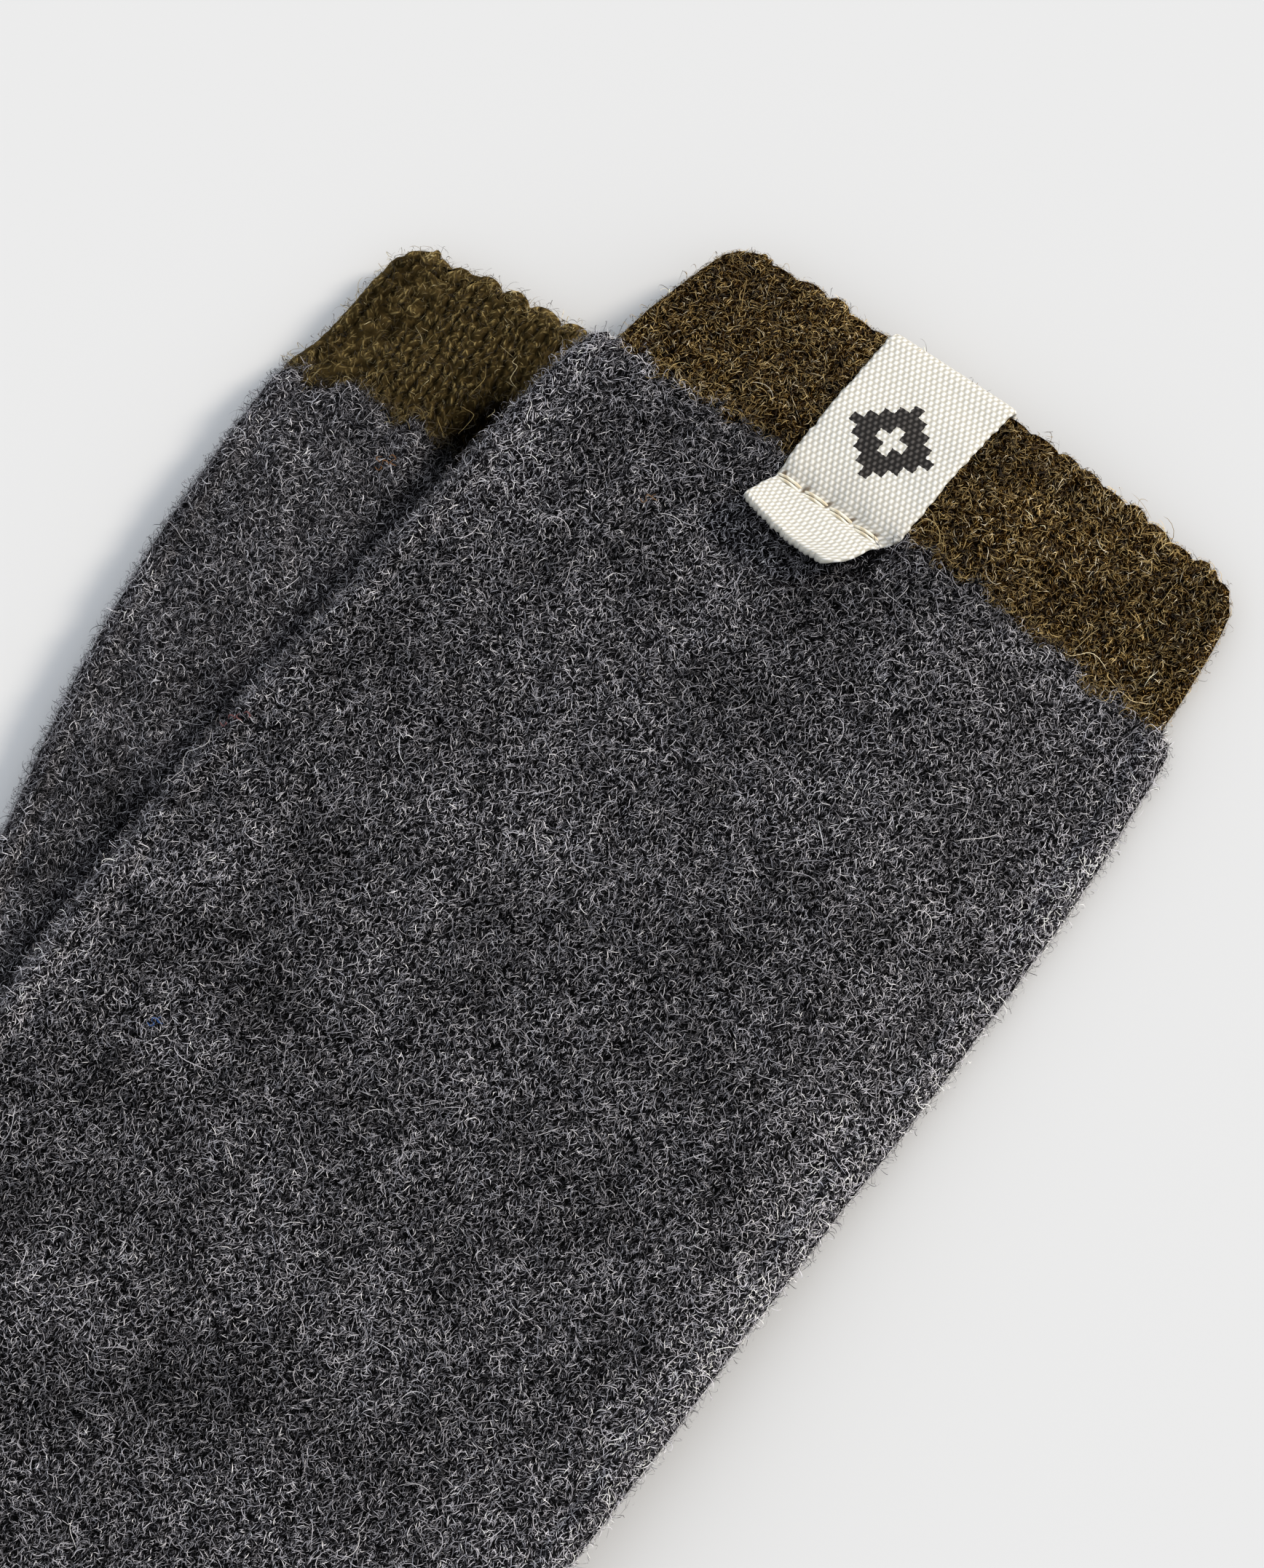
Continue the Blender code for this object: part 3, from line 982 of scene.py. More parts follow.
@dataclass(frozen=True)
class SewingThread:
    """Spun polyester thread, twisted from three plies: a soft satin line with a fine twill."""

    name: str = "spun_sewing_thread"
    colour: str = "#EDE6D2"
    shade: str = "#CDBFA2"
    ply: float = 0.5

    def material(self) -> Material:
        """Builds the material.

        Returns:
            The material.
        """
        material, tree, shader = new_finish(self.name)
        place = add_node(tree, "ShaderNodeTexCoord").outputs["Object"]
        bands = {"Vector": place, "Scale": 1.0 / (self.ply * MM) / 6.3, "Distortion": 0.6}
        twill = add_node(tree, "ShaderNodeTexWave", bands, bands_direction="DIAGONAL")
        ramp = add_node(tree, RAMP, (twill.outputs["Fac"],))
        set_ramp(ramp, ((0.0, self.shade), (1.0, self.colour)))
        fill(tree, shader, {"Base Color": ramp, "Roughness": 0.55})
        return material


@dataclass(frozen=True)
class PaleFloor:
    """A matt painted board: one pale grey, with no pattern that shows."""

    name: str = "matt_painted_board"
    colour: str = "#CCCCCC"

    def material(self) -> Material:
        """Builds the material.

        Returns:
            The material.
        """
        material, tree, shader = new_finish(self.name)
        fill(tree, shader, {"Base Color": linear(self.colour), "Roughness": 1.0, "Specular IOR Level": 0.0})
        return material


# --- The socks' cloth -----------------------------------------------------------------------------


@dataclass(frozen=True)
class SeamEdge:
    """The uneven line where grey meets olive: knitted steps, each a few stitches wide."""

    seed: int
    rise: float = 0.66
    most: float = 1.8

    def at(self, x: Array, upward: Array) -> Array:
        """How far up the line lies at each place across, on either layer.

        Args:
            x: places across.
            upward: one on the upper layer and nought on the lower.

        Returns:
            The heights up the sock.
        """
        steps, sweep = Ripple(self.seed, 3.0, 4.6, 12), Ripple(self.seed + 1, 7.0, 13.0, 8)
        place = x + 500.0 * (1.0 - upward)
        return np.clip(self.rise * (steps.at(place, 0.0) + 0.9 * sweep.at(place, 0.0)), -self.most, self.most)


@dataclass(frozen=True)
class SockBody:
    """Leg, heel, foot and toe in one knitted tube, pressed flat."""

    lay: Lay
    ground: Ground
    seam: SeamEdge
    creases: tuple[Crease, ...]
    column: float
    seed: int
    close_until: float
    close_slope: float
    over: Lay | None
    # Painted highlights, by inset from the side: the back fold is painted lighter, and the front side, which
    # faces the light, lighter still and further in.
    back_highlight: Pairs
    front_highlight: Pairs = ((0.0, 2.0), (3.0, 1.85), (5.0, 1.45), (8.0, 1.25), (17.0, 1.08), (24.0, 1.0))
    ring: float = 1.9
    far_ring: float = 4.0
    puff: float = 0.16
    front_fringe: float = 0.3
    fade: float = 18.0
    jag_fade: float = 5.0
    sides: tuple[float, ...] = (2.9, 3.4, 3.9, 4.4, 4.8, 5.3, 6.0, 6.8, 7.6, 8.5)
    roll: Pairs = (
        (0.0, 0.0), (2.0, 0.12), (3.2, 0.25), (4.0, -0.15), (4.6, -0.5), (5.4, -0.35), (6.8, -0.1), (8.5, 0.0)
    )

    def ring_places(self) -> Array:
        """Where the rings lie along the sections: close together in the leg's upper part.

        Returns:
            Row numbers of the sections, with parts between them.
        """
        dense = np.arange(0.0, len(BODY_SECTIONS) - 1 + 1e-9, 0.02)
        rows = spline(BODY_SECTIONS, dense)
        middle = (rows[:, :2] + rows[:, 2:]) / 2
        run = np.concatenate([[0.0], np.cumsum(np.hypot(*np.diff(middle, axis=0).T))])
        near = np.arange(0.0, self.close_until, self.ring)
        far = np.linspace(self.close_until, run[-1], int((run[-1] - self.close_until) / self.far_ring))
        return np.interp(np.concatenate([near, far]), run, dense)

    def relief(self, x: Array, y: Array, side: Array) -> Array:
        """How far the upper layer stands off its plain height.

        Args:
            x: across the flat sock.
            y: up the flat sock.
            side: inset from the nearer side.

        Returns:
            The height of each point.
        """
        depth = 1.0 + 0.35 * Ripple(self.seed + 3, 18.0, 60.0, 10).at(0.0 * x, y + x)
        height = np.interp(side, *np.array(self.roll).T) * np.clip(depth, 0.3, 1.6)
        height = height + self.puff * Ripple(self.seed, 5.0, 9.0).at(x, y)
        height += 0.5 * self.puff * Ripple(self.seed + 1, 16.0, 34.0).at(x, y)
        height += 0.2 * bell(y, -3.6, 1.8) - 0.3 * bell(y, -0.15, 0.9)
        return height + hollows(self.creases, x, y)

    def shell(self, material: Material) -> Piece:
        """Builds the shell: outer and inner wall, joined at the seam and each closed at the toe.

        Args:
            material: the cloth's finish.

        Returns:
            The shell.
        """
        rows = spline(BODY_SECTIONS, self.ring_places())
        columns = int((np.abs(BODY_SECTIONS[:, 2]).max() - 2 * self.sides[-1]) / self.column)
        loop = Loop.drawn(BODY_THICKNESS, columns, 26, self.sides)
        back, front = self.lay.laid(rows[:, 0], rows[:, 1]), self.lay.laid(rows[:, 2], rows[:, 3])
        half = np.hypot(*(front - back).T) / 2
        outer, flat = self.wall(loop, rows, back, front, half, 0.0)
        keep = np.arange(0, len(rows) - 10, 4)
        inner, _ = self.wall(loop, rows[keep], back[keep], front[keep], half[keep], BODY_WALL)
        nose = self.nose(loop, back[-1], front[-1])
        points = np.vstack([part.reshape(-1, 3) for part in (outer, nose, inner)])
        count = len(loop.share)
        outside = np.arange((len(outer) + len(nose)) * count).reshape(-1, count)
        inside = outside[-1, -1] + 1 + np.arange(len(inner) * count).reshape(-1, count)
        faces = ring_faces(outside) + [face[::-1] for face in ring_faces(inside)]
        faces += ring_faces(np.stack([inside[0], outside[0]]))
        tips = np.stack([points[outside[-1]].mean(axis=0), points[inside[-1]].mean(axis=0)])
        for tip, ring in enumerate((outside[-1], inside[-1][::-1]), len(points)):
            faces += [[a, tip, b] for a, b in zip(ring, np.roll(ring, -1))]

        near = self.near(flat) * smooth_step(3.0 * loop.upward)
        thick = self.coat(loop, flat, outer, near)
        fold = fold_edge(loop) * np.where(loop.out_x > 0.0, self.front_fringe, 1.0)
        hairy = thick * np.maximum(fold, 1.5 * bell(flat[..., 1], -0.3, 1.2) * loop.upward)
        if self.over is None:
            corner = bell(flat[..., 0], 2.8, 1.3) * bell(flat[..., 1], -2.4, 1.3)
            hairy = np.maximum(hairy, 1.5 * corner * loop.upward)
        values = {COAT: thick, EDGE: hairy, PAINTED_LIGHT_AND_SHADE: self.painted_light(loop, half, flat, outer), BARE: 1.0 - near}
        hidden = np.repeat((REST_COAT, 0.0), (nose.size // 3, inner.size // 3 + len(tips)))
        rest = {COAT: hidden, EDGE: 0.0 * hidden, PAINTED_LIGHT_AND_SHADE: 0.0 * hidden + 1.0, BARE: 0.0 * hidden + 1.0}
        values = {key: np.concatenate([value.ravel(), rest[key]]) for key, value in values.items()}
        along = unit(-np.gradient(outer, axis=0).reshape(-1, 3))
        values[GRAIN] = np.vstack([along, np.tile([0.0, 1.0, 0.0], (len(hidden), 1))])
        name = self.lay.sock.value + "_body_felt"
        return mesh_object(name, np.vstack([points, tips]), faces, material, values)

    def painted_light(self, loop: Loop, half: Array, flat: Array, outer: Array) -> Array:
        """Painted light and shade: painted highlights on the folds and on the front side, which faces the
        light, and painted shade in creases and beside the sock on top.
            flat: the points in the flat sock's coordinates.
            outer: the points as they lie.

        Returns:
            The share of the plain brightness, for each point.
        """
        across = loop.across(half)
        side = np.maximum(half[:, None] - np.abs(across), 0.0)
        front, back = (np.interp(side, *np.array(table).T) for table in (self.front_highlight, self.back_highlight))
        away = away_from(self.over, outer[..., :2])
        shade = painted_shading(hollows(self.creases, flat[..., 0], flat[..., 1]), away)
        return np.where(across > 0.0, front, back) * shade

    def wall(
        self, loop: Loop, rows: Array, back: Array, front: Array, half: Array, depth: float
    ) -> tuple[Array, Array]:
        """Points of the outer wall (depth 0) or of the inner one.

        Args:
            loop: the points once round.
            rows: the sections in the flat sock's coordinates.
            back: where each section's back end lies.
            front: where its front end lies.
            half: half the width of each.
            depth: how deep in the wall.

        Returns:
            Rings of points, and the same points in the flat sock's coordinates.
        """
        across, up = loop.across(half - FUZZ_ROOM, depth), loop.up(depth)
        share = ((across + half[:, None]) / (2 * half[:, None]))[..., None]
        flat = rows[:, None, :2] * (1 - share) + rows[:, None, 2:] * share
        lying = back[:, None] * (1 - share) + front[:, None] * share
        jag = self.seam.at(flat[..., 0], np.broadcast_to(loop.upward, flat.shape[:2]))
        jag = jag * bell(rows[:, 1, None], -0.15, self.jag_fade)
        heading = math.radians(self.lay.turn)
        lying = lying + jag[..., None] * np.array([-math.sin(heading), math.cos(heading)])
        level = self.ground.level(lying)
        if depth == 0.0:
            side = half[:, None] - np.abs(across)
            away = away_from(self.over, lying)
            lift = self.relief(flat[..., 0], flat[..., 1], side) * smooth_step(away / FREE_FROM)
            up = up + (lift - 0.7 * bell(away, DENT_PLACE, DENT_WIDTH)) * loop.upward
            waves = Ripple(self.seed + 2, 6.0, 30.0, 10).at(np.sign(across) * 200.0, flat[..., 1])
            sway = np.sign(across) * 0.08 * bell(side, 0.0, 6.0) * waves
            lying = lying + sway[..., None] * ((front - back) / (2 * half[:, None]))[:, None]
        return np.concatenate([lying, (up + level)[..., None]], axis=-1), flat

    def nose(self, loop: Loop, back: Array, front: Array) -> Array:
        """Rings that round off the toe beyond the last section, thinner and narrower in turn.

        Args:
            loop: the section's outline.
            back: where the last section's back side lies.
            front: where its front side lies.

        Returns:
            The rings' points.
        """
        width = math.dist(back, front)
        forward = np.array([front[1] - back[1], back[0] - front[0]]) / width
        aside = (front - back) / width
        middle = (back + front) / 2
        rings = []
        for angle in NOSE_TURN * np.arange(1, NOSE_RINGS + 1) / NOSE_RINGS:
            half = width / 2 - NOSE_NARROWING * (1.0 - math.cos(angle))
            slim = BODY_THICKNESS / 2 * math.cos(angle)
            across = loop.across(np.array([half - FUZZ_ROOM]))[0]
            across = np.sign(across) * np.minimum(np.abs(across), half)
            place = middle + forward * NOSE_REACH * math.sin(angle) + across[:, None] * aside
            up = BODY_THICKNESS / 2 + loop.out_z * slim + self.ground.level(place)
            rings.append(np.column_stack([place, up]))
        return np.array(rings)

    def near(self, flat: Array) -> Array:
        """1 on the upper leg, which is seen from close by, and 0 further down."""
        end = self.close_until - self.close_slope * np.abs(flat[..., 0] + 7.5)
        return smooth_step((flat[..., 1] + end) / self.fade + 0.5)

    def coat(self, loop: Loop, flat: Array, outer: Array, near: Array) -> Array:
        """How thick the coat of fibres is: full on the upper leg, thin elsewhere, none where hidden.

        Args:
            loop: the points once round.
            flat: the points in the flat sock's coordinates.
            outer: the points as they lie.
            near: 1 where the coat is full.

        Returns:
            The share of the full coat, for each point.
        """
        hidden = (loop.out_z < -0.9)[None, :] & (outer[..., 2] < 1.0)
        if self.over is None:
            hidden = hidden | under_label(flat[..., 0], flat[..., 1])
        thick = np.where(hidden, 0.0, REST_COAT + (1.0 - REST_COAT) * near)
        return thick * smooth_step(away_from(self.over, outer[..., :2]) / FREE_FROM)


@dataclass(frozen=True)
class SockCuff:
    """The knitted band above the seam, open at the top, with a cast-off rim."""

    lay: Lay
    ground: Ground
    seam: SeamEdge
    seed: int
    slope: tuple[tuple[float, ...], tuple[float, ...]]
    creases: tuple[Crease, ...]
    over: Lay | None
    column: float
    knit: float
    # How much the knit's gaps are thinned of fibres and darkened as painted shade.
    shown: float
    below: int = 60
    rings: int = 60
    rim_steps: int = 6
    inner_rings: int = 8
    sides: tuple[float, ...] = (2.7, 3.2, 3.8, 4.5, 5.3, 6.2, 7.2, 8.5)
    scallop: tuple[float, float] = (3.4, 5.0)
    scallop_rise: tuple[float, float] = (0.5, 1.7)
    fringe: float = 0.22
    flare: float = 0.0
    # How much the rim and the side folds are brightened as painted highlights.
    rim_highlight: float = 0.5
    side_highlight: float = 0.5
    wale: float = 2.3
    course: float = 1.8
    slant: float = 1.3
    dent: float = 0.35
    # How much painted light brightens the cuff beside the sock on top.
    painted_bounce: float = 0.35

    def rim(self, x: Array, upward: Array) -> Array:
        """How far each place on the rim stands out: one hump for each cast-off stitch.

        Args:
            x: places across.
            upward: one on the upper layer and nought on the lower.

        Returns:
            How far each stands out.
        """
        chance = np.random.default_rng(self.seed)
        ends = np.cumsum(chance.uniform(*self.scallop, 80)) - 60.0
        rises = chance.uniform(*self.scallop_rise, 81)
        place = x + 95.0 * (1.0 - upward)
        index = np.clip(np.searchsorted(ends, place), 1, len(ends) - 1)
        share = (place - ends[index - 1]) / (ends[index] - ends[index - 1])
        hump = np.sqrt(np.clip(np.sin(math.pi * np.clip(share, 0.0, 1.0) ** 0.8), 0.0, 1.0))
        return rises[index] * hump - 1.2

    def stitches(self, x: Array, y: Array) -> tuple[Array, Array]:
        """The plain knit: columns of nested V stitches, each of two slanting legs.

        Args:
            x: across the cuff.
            y: up it.

        Returns:
            The height, from 0 in the gaps to 1 on a leg's crest, and -1 or 1 for the way it leans.
        """
        loose = Ripple(self.seed + 5, 3.0, 12.0, 14)
        x = x + 0.3 * loose.at(x, y)
        y = y + 0.3 * loose.at(x + 300.0, y)
        place = (x / self.wale) % 1.0 - 0.5
        leg = 2.0 * np.abs(place)
        climb = (y - self.slant * leg * self.wale / 2) / self.course
        rung = 0.5 + 0.5 * np.cos(2 * math.pi * climb)
        return np.sqrt(np.sin(math.pi * leg)) * (0.35 + 0.65 * rung) * (1.0 - 0.8 * leg**3), np.sign(place)

    def shell(self, material: Material) -> Piece:
        """Builds the shell: up the outside, round the rim and down the inside.

        Args:
            material: the knit's finish.

        Returns:
            The shell.
        """
        loop = Loop.drawn(CUFF_THICKNESS, int(70.0 / self.column), self.below, self.sides)
        turn = np.linspace(0.0, math.pi, self.rim_steps + 2)[1:-1]
        out_share, in_share = np.linspace(0.0, 1.0, self.rings), np.linspace(1.0, 0.0, self.inner_rings)
        share = np.concatenate([out_share, np.ones(len(turn)), in_share])
        wall = np.concatenate([0 * out_share, CUFF_WALL / 2 * (1.0 - np.cos(turn)), 0 * in_share + CUFF_WALL])
        reach = np.concatenate([0 * out_share, CUFF_WALL / 2 * np.sin(turn), 0 * in_share])[:, None]
        near = np.concatenate([np.ones(self.rings + len(turn)), 0 * in_share])[:, None]
        half = np.interp(share, *CUFF_SECTIONS.T) - FUZZ_ROOM
        across, up = loop.across(half, wall), loop.up(wall)
        share, outside = share[:, None], (wall == 0.0)[:, None]
        across = across - self.flare * bell(share, 0.0, 0.2) * np.clip(-across / half.max(), 0.0, 1.0) ** 8
        upward = np.broadcast_to(loop.upward, across.shape)
        flat = across + self.lay.cuff_shift
        rise = share**6 * (self.rim(across, upward) + np.interp(across, *self.slope))
        y = SEAM_GAP / 2 + (CUFF_HEIGHT - CUFF_WALL / 2 - SEAM_GAP / 2) * share
        y = y + reach + rise + self.seam.at(flat, upward) * (1.0 - share) ** 2
        lying = self.lay.laid(flat, y)
        away = away_from(self.over, lying)
        air = smooth_step(away / FREE_FROM)
        stitch, lean = self.stitches(across, y)
        hollow = hollows(self.creases, flat, y)
        lift = 0.13 * Ripple(self.seed + 4, 5.0, 12.0).at(across, y) + self.knit * (stitch - 0.5)
        lift = ((lift + hollow) * air - self.dent * bell(away, DENT_PLACE, DENT_WIDTH)) * upward
        points = np.concatenate([lying, (up + outside * lift + self.ground.level(lying))[..., None]], -1)
        rings = np.arange(across.size).reshape(across.shape)[::-1]
        faces = ring_faces(rings) + ring_faces(np.stack([rings[-1], rings[0]]))

        bare = (loop.out_z < -0.9)[None, :] & (points[..., 2] < 1.0)
        if self.over is None:
            bare = bare | (under_label(flat, y) & (loop.out_z > 0.9))
        gap = (1.0 - stitch) * upward
        coat = np.where(bare, 0.0, near * (0.25 + 0.75 * upward)) * air * (1.0 - 0.45 * self.shown * gap)
        rim, seam = bell(share, 1.0, 0.05) * near, 2.5 * bell(share, 0.0, 0.05) * near
        edge = coat * (self.fringe * np.maximum(fold_edge(loop), rim * upward) + seam * upward)
        # Painted light and shade: painted highlights on the rim and folds, painted shade in the knit's gaps
        # and in creases, and painted light beside the sock on top.
        pale = (1.0 + self.rim_highlight * rim + self.side_highlight * fold_edge(loop)) * (1.0 - self.shown * gap)
        pale = pale * painted_shading(hollow, away, -self.painted_bounce)
        along, aside = (unit(np.gradient(points, axis=axis)) for axis in (0, 1))
        values = {COAT: coat, EDGE: edge, PAINTED_LIGHT_AND_SHADE: pale, BARE: (1.0 - near) + 0.0 * coat}
        values = {key: value.ravel() for key, value in values.items()}
        values[GRAIN] = unit(self.slant * along + lean[..., None] * aside).reshape(-1, 3)
        name = self.lay.sock.value + "_cuff_knit"
        return mesh_object(name, points.reshape(-1, 3), faces, material, values)


@dataclass(frozen=True)
class TapeLabel:
    """The tape folded over the upper cuff's rim, sewn down below it, with a free flap."""

    lay: Lay
    ground: Ground
    columns: int = 75
    row: float = 0.5
    bend_rows: int = 12
    sewn_y: float = -2.75
    sewn_height: float = 6.2
    yarn: float = 0.82

    def path(self) -> Array:
        """Rows of the middle of the tape's thickness: y, height, left and right side, and run.

        Returns:
            The rows.
        """
        low, high = TAPE_INSIDE[-1], TAPE_OUTSIDE[0]
        radius = (high[1] - low[1]) / 2
        turn = np.linspace(0.0, math.pi, self.bend_rows + 1)
        bend = np.tile(low, (len(turn), 1))
        bend[:, 0] = TAPE_BEND_Y + radius * np.sin(turn)
        bend[:, 1] += radius * (1.0 - np.cos(turn))
        rows = np.vstack([TAPE_INSIDE, bend, TAPE_OUTSIDE])
        dense = spline(rows, np.arange(0.0, len(rows) - 1 + 1e-9, 0.05))
        run = np.concatenate([[0.0], np.cumsum(np.hypot(*np.diff(dense[:, :2], axis=0).T))])
        even = np.linspace(0.0, run[-1], int(run[-1] / self.row))
        return np.column_stack([np.interp(even, run, dense[:, k]) for k in range(4)] + [even])

    def shell(self, material: Material) -> Piece:
        """Builds the tape as a closed strip, with its map in millimetres across and along.

        Args:
            material: the tape's finish.

        Returns:
            The tape.
        """
        rows = self.path()
        middle_y, middle_up, left, right, run = (rows[:, k, None] for k in range(5))
        # The path runs up inside the cuff and back down outside, so its outer face is on this side.
        step = unit(np.gradient(rows[:, :2], axis=0))
        share = np.linspace(0.0, 1.0, self.columns + 1)
        ring_share = np.concatenate([share, share[::-1][1:-1]])
        aside = np.abs(2 * ring_share - 1.0)
        face = np.concatenate([np.ones(len(share)), -np.ones(len(share) - 2)])
        selvedge = 0.07 * Ripple(73, 1.3, 4.0, 12).at(40.0 * np.round(ring_share), run)
        x = left + (right - left) * ring_share + selvedge * aside**9
        lift = self.relief(x, middle_y) * smooth_step((run - 24.0) / 3.0)
        off = face * np.sqrt(1.0 - aside**26) * TAPE_THICKNESS / 2 + lift
        y = middle_y + step[:, 1:] * off + self.end(x, rows)
        lying = self.lay.laid(x + TAPE_MIDDLE_X, y)
        up = middle_up - step[:, :1] * off + self.ground.level(lying)
        points = np.concatenate([lying, up[..., None]], axis=-1).reshape(-1, 3)
        rings = np.arange(x.size).reshape(x.shape)
        faces = ring_faces(rings) + self.caps(rings, len(share))
        made = mesh_object(self.lay.sock.value + "_label_tape", points, faces, material)
        flat = np.stack(np.broadcast_arrays(TAPE_WIDTH * ring_share, run), axis=-1)
        corners = np.empty(len(made.data.loops), np.int32)
        made.data.loops.foreach_get("vertex_index", corners)
        keep_map(made, TAPE_MAP, flat.reshape(-1, 2)[corners])
        return made

    def caps(self, rings: Array, across: int) -> list[list[int]]:
        """Faces that close the strip at its hidden end and at its cut end.

        Args:
            rings: a row of point numbers for each ring.
            across: how many points lie on its upper face.

        Returns:
            The faces.
        """
        faces = []
        for ring, turned in ((rings[0], False), (rings[-1], True)):
            over = ring[:across]
            under = np.concatenate([ring[:1], ring[across:][::-1], ring[across - 1 : across]])
            for k in range(across - 1):
                face = list(dict.fromkeys([over[k], over[k + 1], under[k + 1], under[k]]))
                faces.append([int(v) for v in (face[::-1] if turned else face)])
        return faces

    def relief(self, x: Array, y: Array) -> Array:
        """The valley that the stitches pull in, puckers above it, and a dent beside its right end.

        Args:
            x: places across the tape.
            y: places up the sock.

        Returns:
            The heights.
        """
        above = y - self.sewn_y
        valley = -0.6 * bell(above, 0.0, np.where(above > 0.0, 1.9, 0.75)) * smooth_step((10.4 - x) / 2.0)
        pucker = 0.13 * np.sin(2 * math.pi * (x - 0.4) / STITCH) * bell(above, 1.5, 1.3)
        slack = 0.08 * Ripple(71, 7.0, 16.0, 10).at(x, y)
        return valley + pucker + slack - 0.7 * bell(x, 9.6, 1.6) * bell(y, -2.2, 1.9)

    def sewn_run(self) -> float:
        """How far along the tape it is sewn down.

        Returns:
            The length.
        """
        rows = self.path()
        outside = rows[rows[:, 4] > rows[-1, 4] / 2]
        return float(np.interp(-self.sewn_y, -outside[:, 0], outside[:, 4]))

    def sewn_points(self, x: Array) -> Array:
        """Points of the tape's face on the line where it is sewn down.

        Args:
            x: places across the tape.

        Returns:
            The points.
        """
        y = np.full(len(x), self.sewn_y)
        lying = self.lay.laid(x + TAPE_MIDDLE_X, y)
        up = self.sewn_height + TAPE_THICKNESS / 2 + self.relief(x, y) + self.ground.level(lying)
        return np.column_stack([lying, up])

    def end(self, x: Array, rows: Array) -> Array:
        """How the flap's cut end runs: it bellies down in the middle, and yarn ends stand out.

        Args:
            x: places across the tape.
            rows: the path's rows.

        Returns:
            How far each place moves along the tape.
        """
        y, run = rows[:, 0, None], rows[:, 4, None]
        down = smooth_step((self.sewn_y - y) / (self.sewn_y - y[-1]))
        down = np.where(run > 30.0, down, 0.0)
        belly = -0.9 + 1.7 * np.clip(-x / 9.4, 0.0, 1.0) ** 2
        ends = 0.28 * np.abs(np.sin(math.pi * x / self.yarn)) + 0.05 * Ripple(5, 1.0, 3.0, 8).at(x, 0.0)
        return down * belly - smooth_step(run - run[-1] + 1.0) * ends


# --- Fibres and stitches, by geometry nodes --------------------------------------------------------


@dataclass(frozen=True)
class FibreForms:
    """A set of curled fibres for a coat to draw from, as thin ribbons that lie along +X."""

    name: str
    seed: int
    forms: int
    segments: int
    length: tuple[float, float]
    width: float
    curl: float
    lift: tuple[float, float]

    def build(self) -> Piece:
        """Builds all the forms in one mesh, each face with its form's number.

        Returns:
            The mesh, as an object.
        """
        chance = np.random.default_rng(self.seed)
        points, faces, strips = [], [], []
        share = np.linspace(0.0, 1.0, self.segments + 1)
        for _ in range(self.forms):
            step = chance.uniform(*self.length) / self.segments
            bend = chance.normal(0.0, 1.0, 2) * step / self.curl
            turns = chance.uniform(-0.3, 0.3) + np.cumsum(np.linspace(bend[0], bend[1], self.segments))
            path = np.zeros((self.segments + 1, 3))
            path[1:, :2] = np.cumsum(step * np.column_stack([np.cos(turns), np.sin(turns)]), axis=0)
            path[:, :2] -= path[:, :2].mean(axis=0)
            rise, peak = chance.uniform(*self.lift), chance.uniform(0.35, 1.1)
            path[:, 2] = 0.04 + rise * np.sin(np.minimum(share / peak, 1.6) * math.pi / 2)
            heading = ((turns[1:] + turns[:-1]) / 2)[:, None]
            roll = chance.uniform(-0.6, 0.6)
            level = math.cos(roll) * np.hstack([-np.sin(heading), np.cos(heading)])
            aside = np.hstack([level, 0 * heading + math.sin(roll)])
            aside *= self.width / 2 * (1.0 - 0.3 * np.abs(2 * share[1:-1] - 1.0))[:, None]
            first, last = len(points), len(points) + 1
            points += [path[0], path[-1], *(path[1:-1] - aside), *(path[1:-1] + aside)]
            left = first + 2 + np.arange(len(aside))
            right = left + len(aside)
            faces.append((first, left[0], right[0]))
            strips += [(0.5, 0.0), (0.0, share[1]), (1.0, share[1])]
            for k in range(len(aside) - 1):
                faces.append((left[k], left[k + 1], right[k + 1], right[k]))
                strips += [(0.0, share[k + 1]), (0.0, share[k + 2]), (1.0, share[k + 2]), (1.0, share[k + 1])]
            faces.append((last, right[-1], left[-1]))
            strips += [(0.5, 1.0), (1.0, share[-2]), (0.0, share[-2])]
        made = mesh_object(self.name, np.array(points), faces)
        numbers = np.repeat(np.arange(self.forms, dtype=np.int32), self.segments)
        made.data.attributes.new(VARIANT, "INT", "FACE").data.foreach_set("value", numbers)
        strip = made.data.attributes.new(STRIP, "FLOAT2", "CORNER")
        strip.data.foreach_set("vector", np.array(strips, np.float32).ravel())
        return made


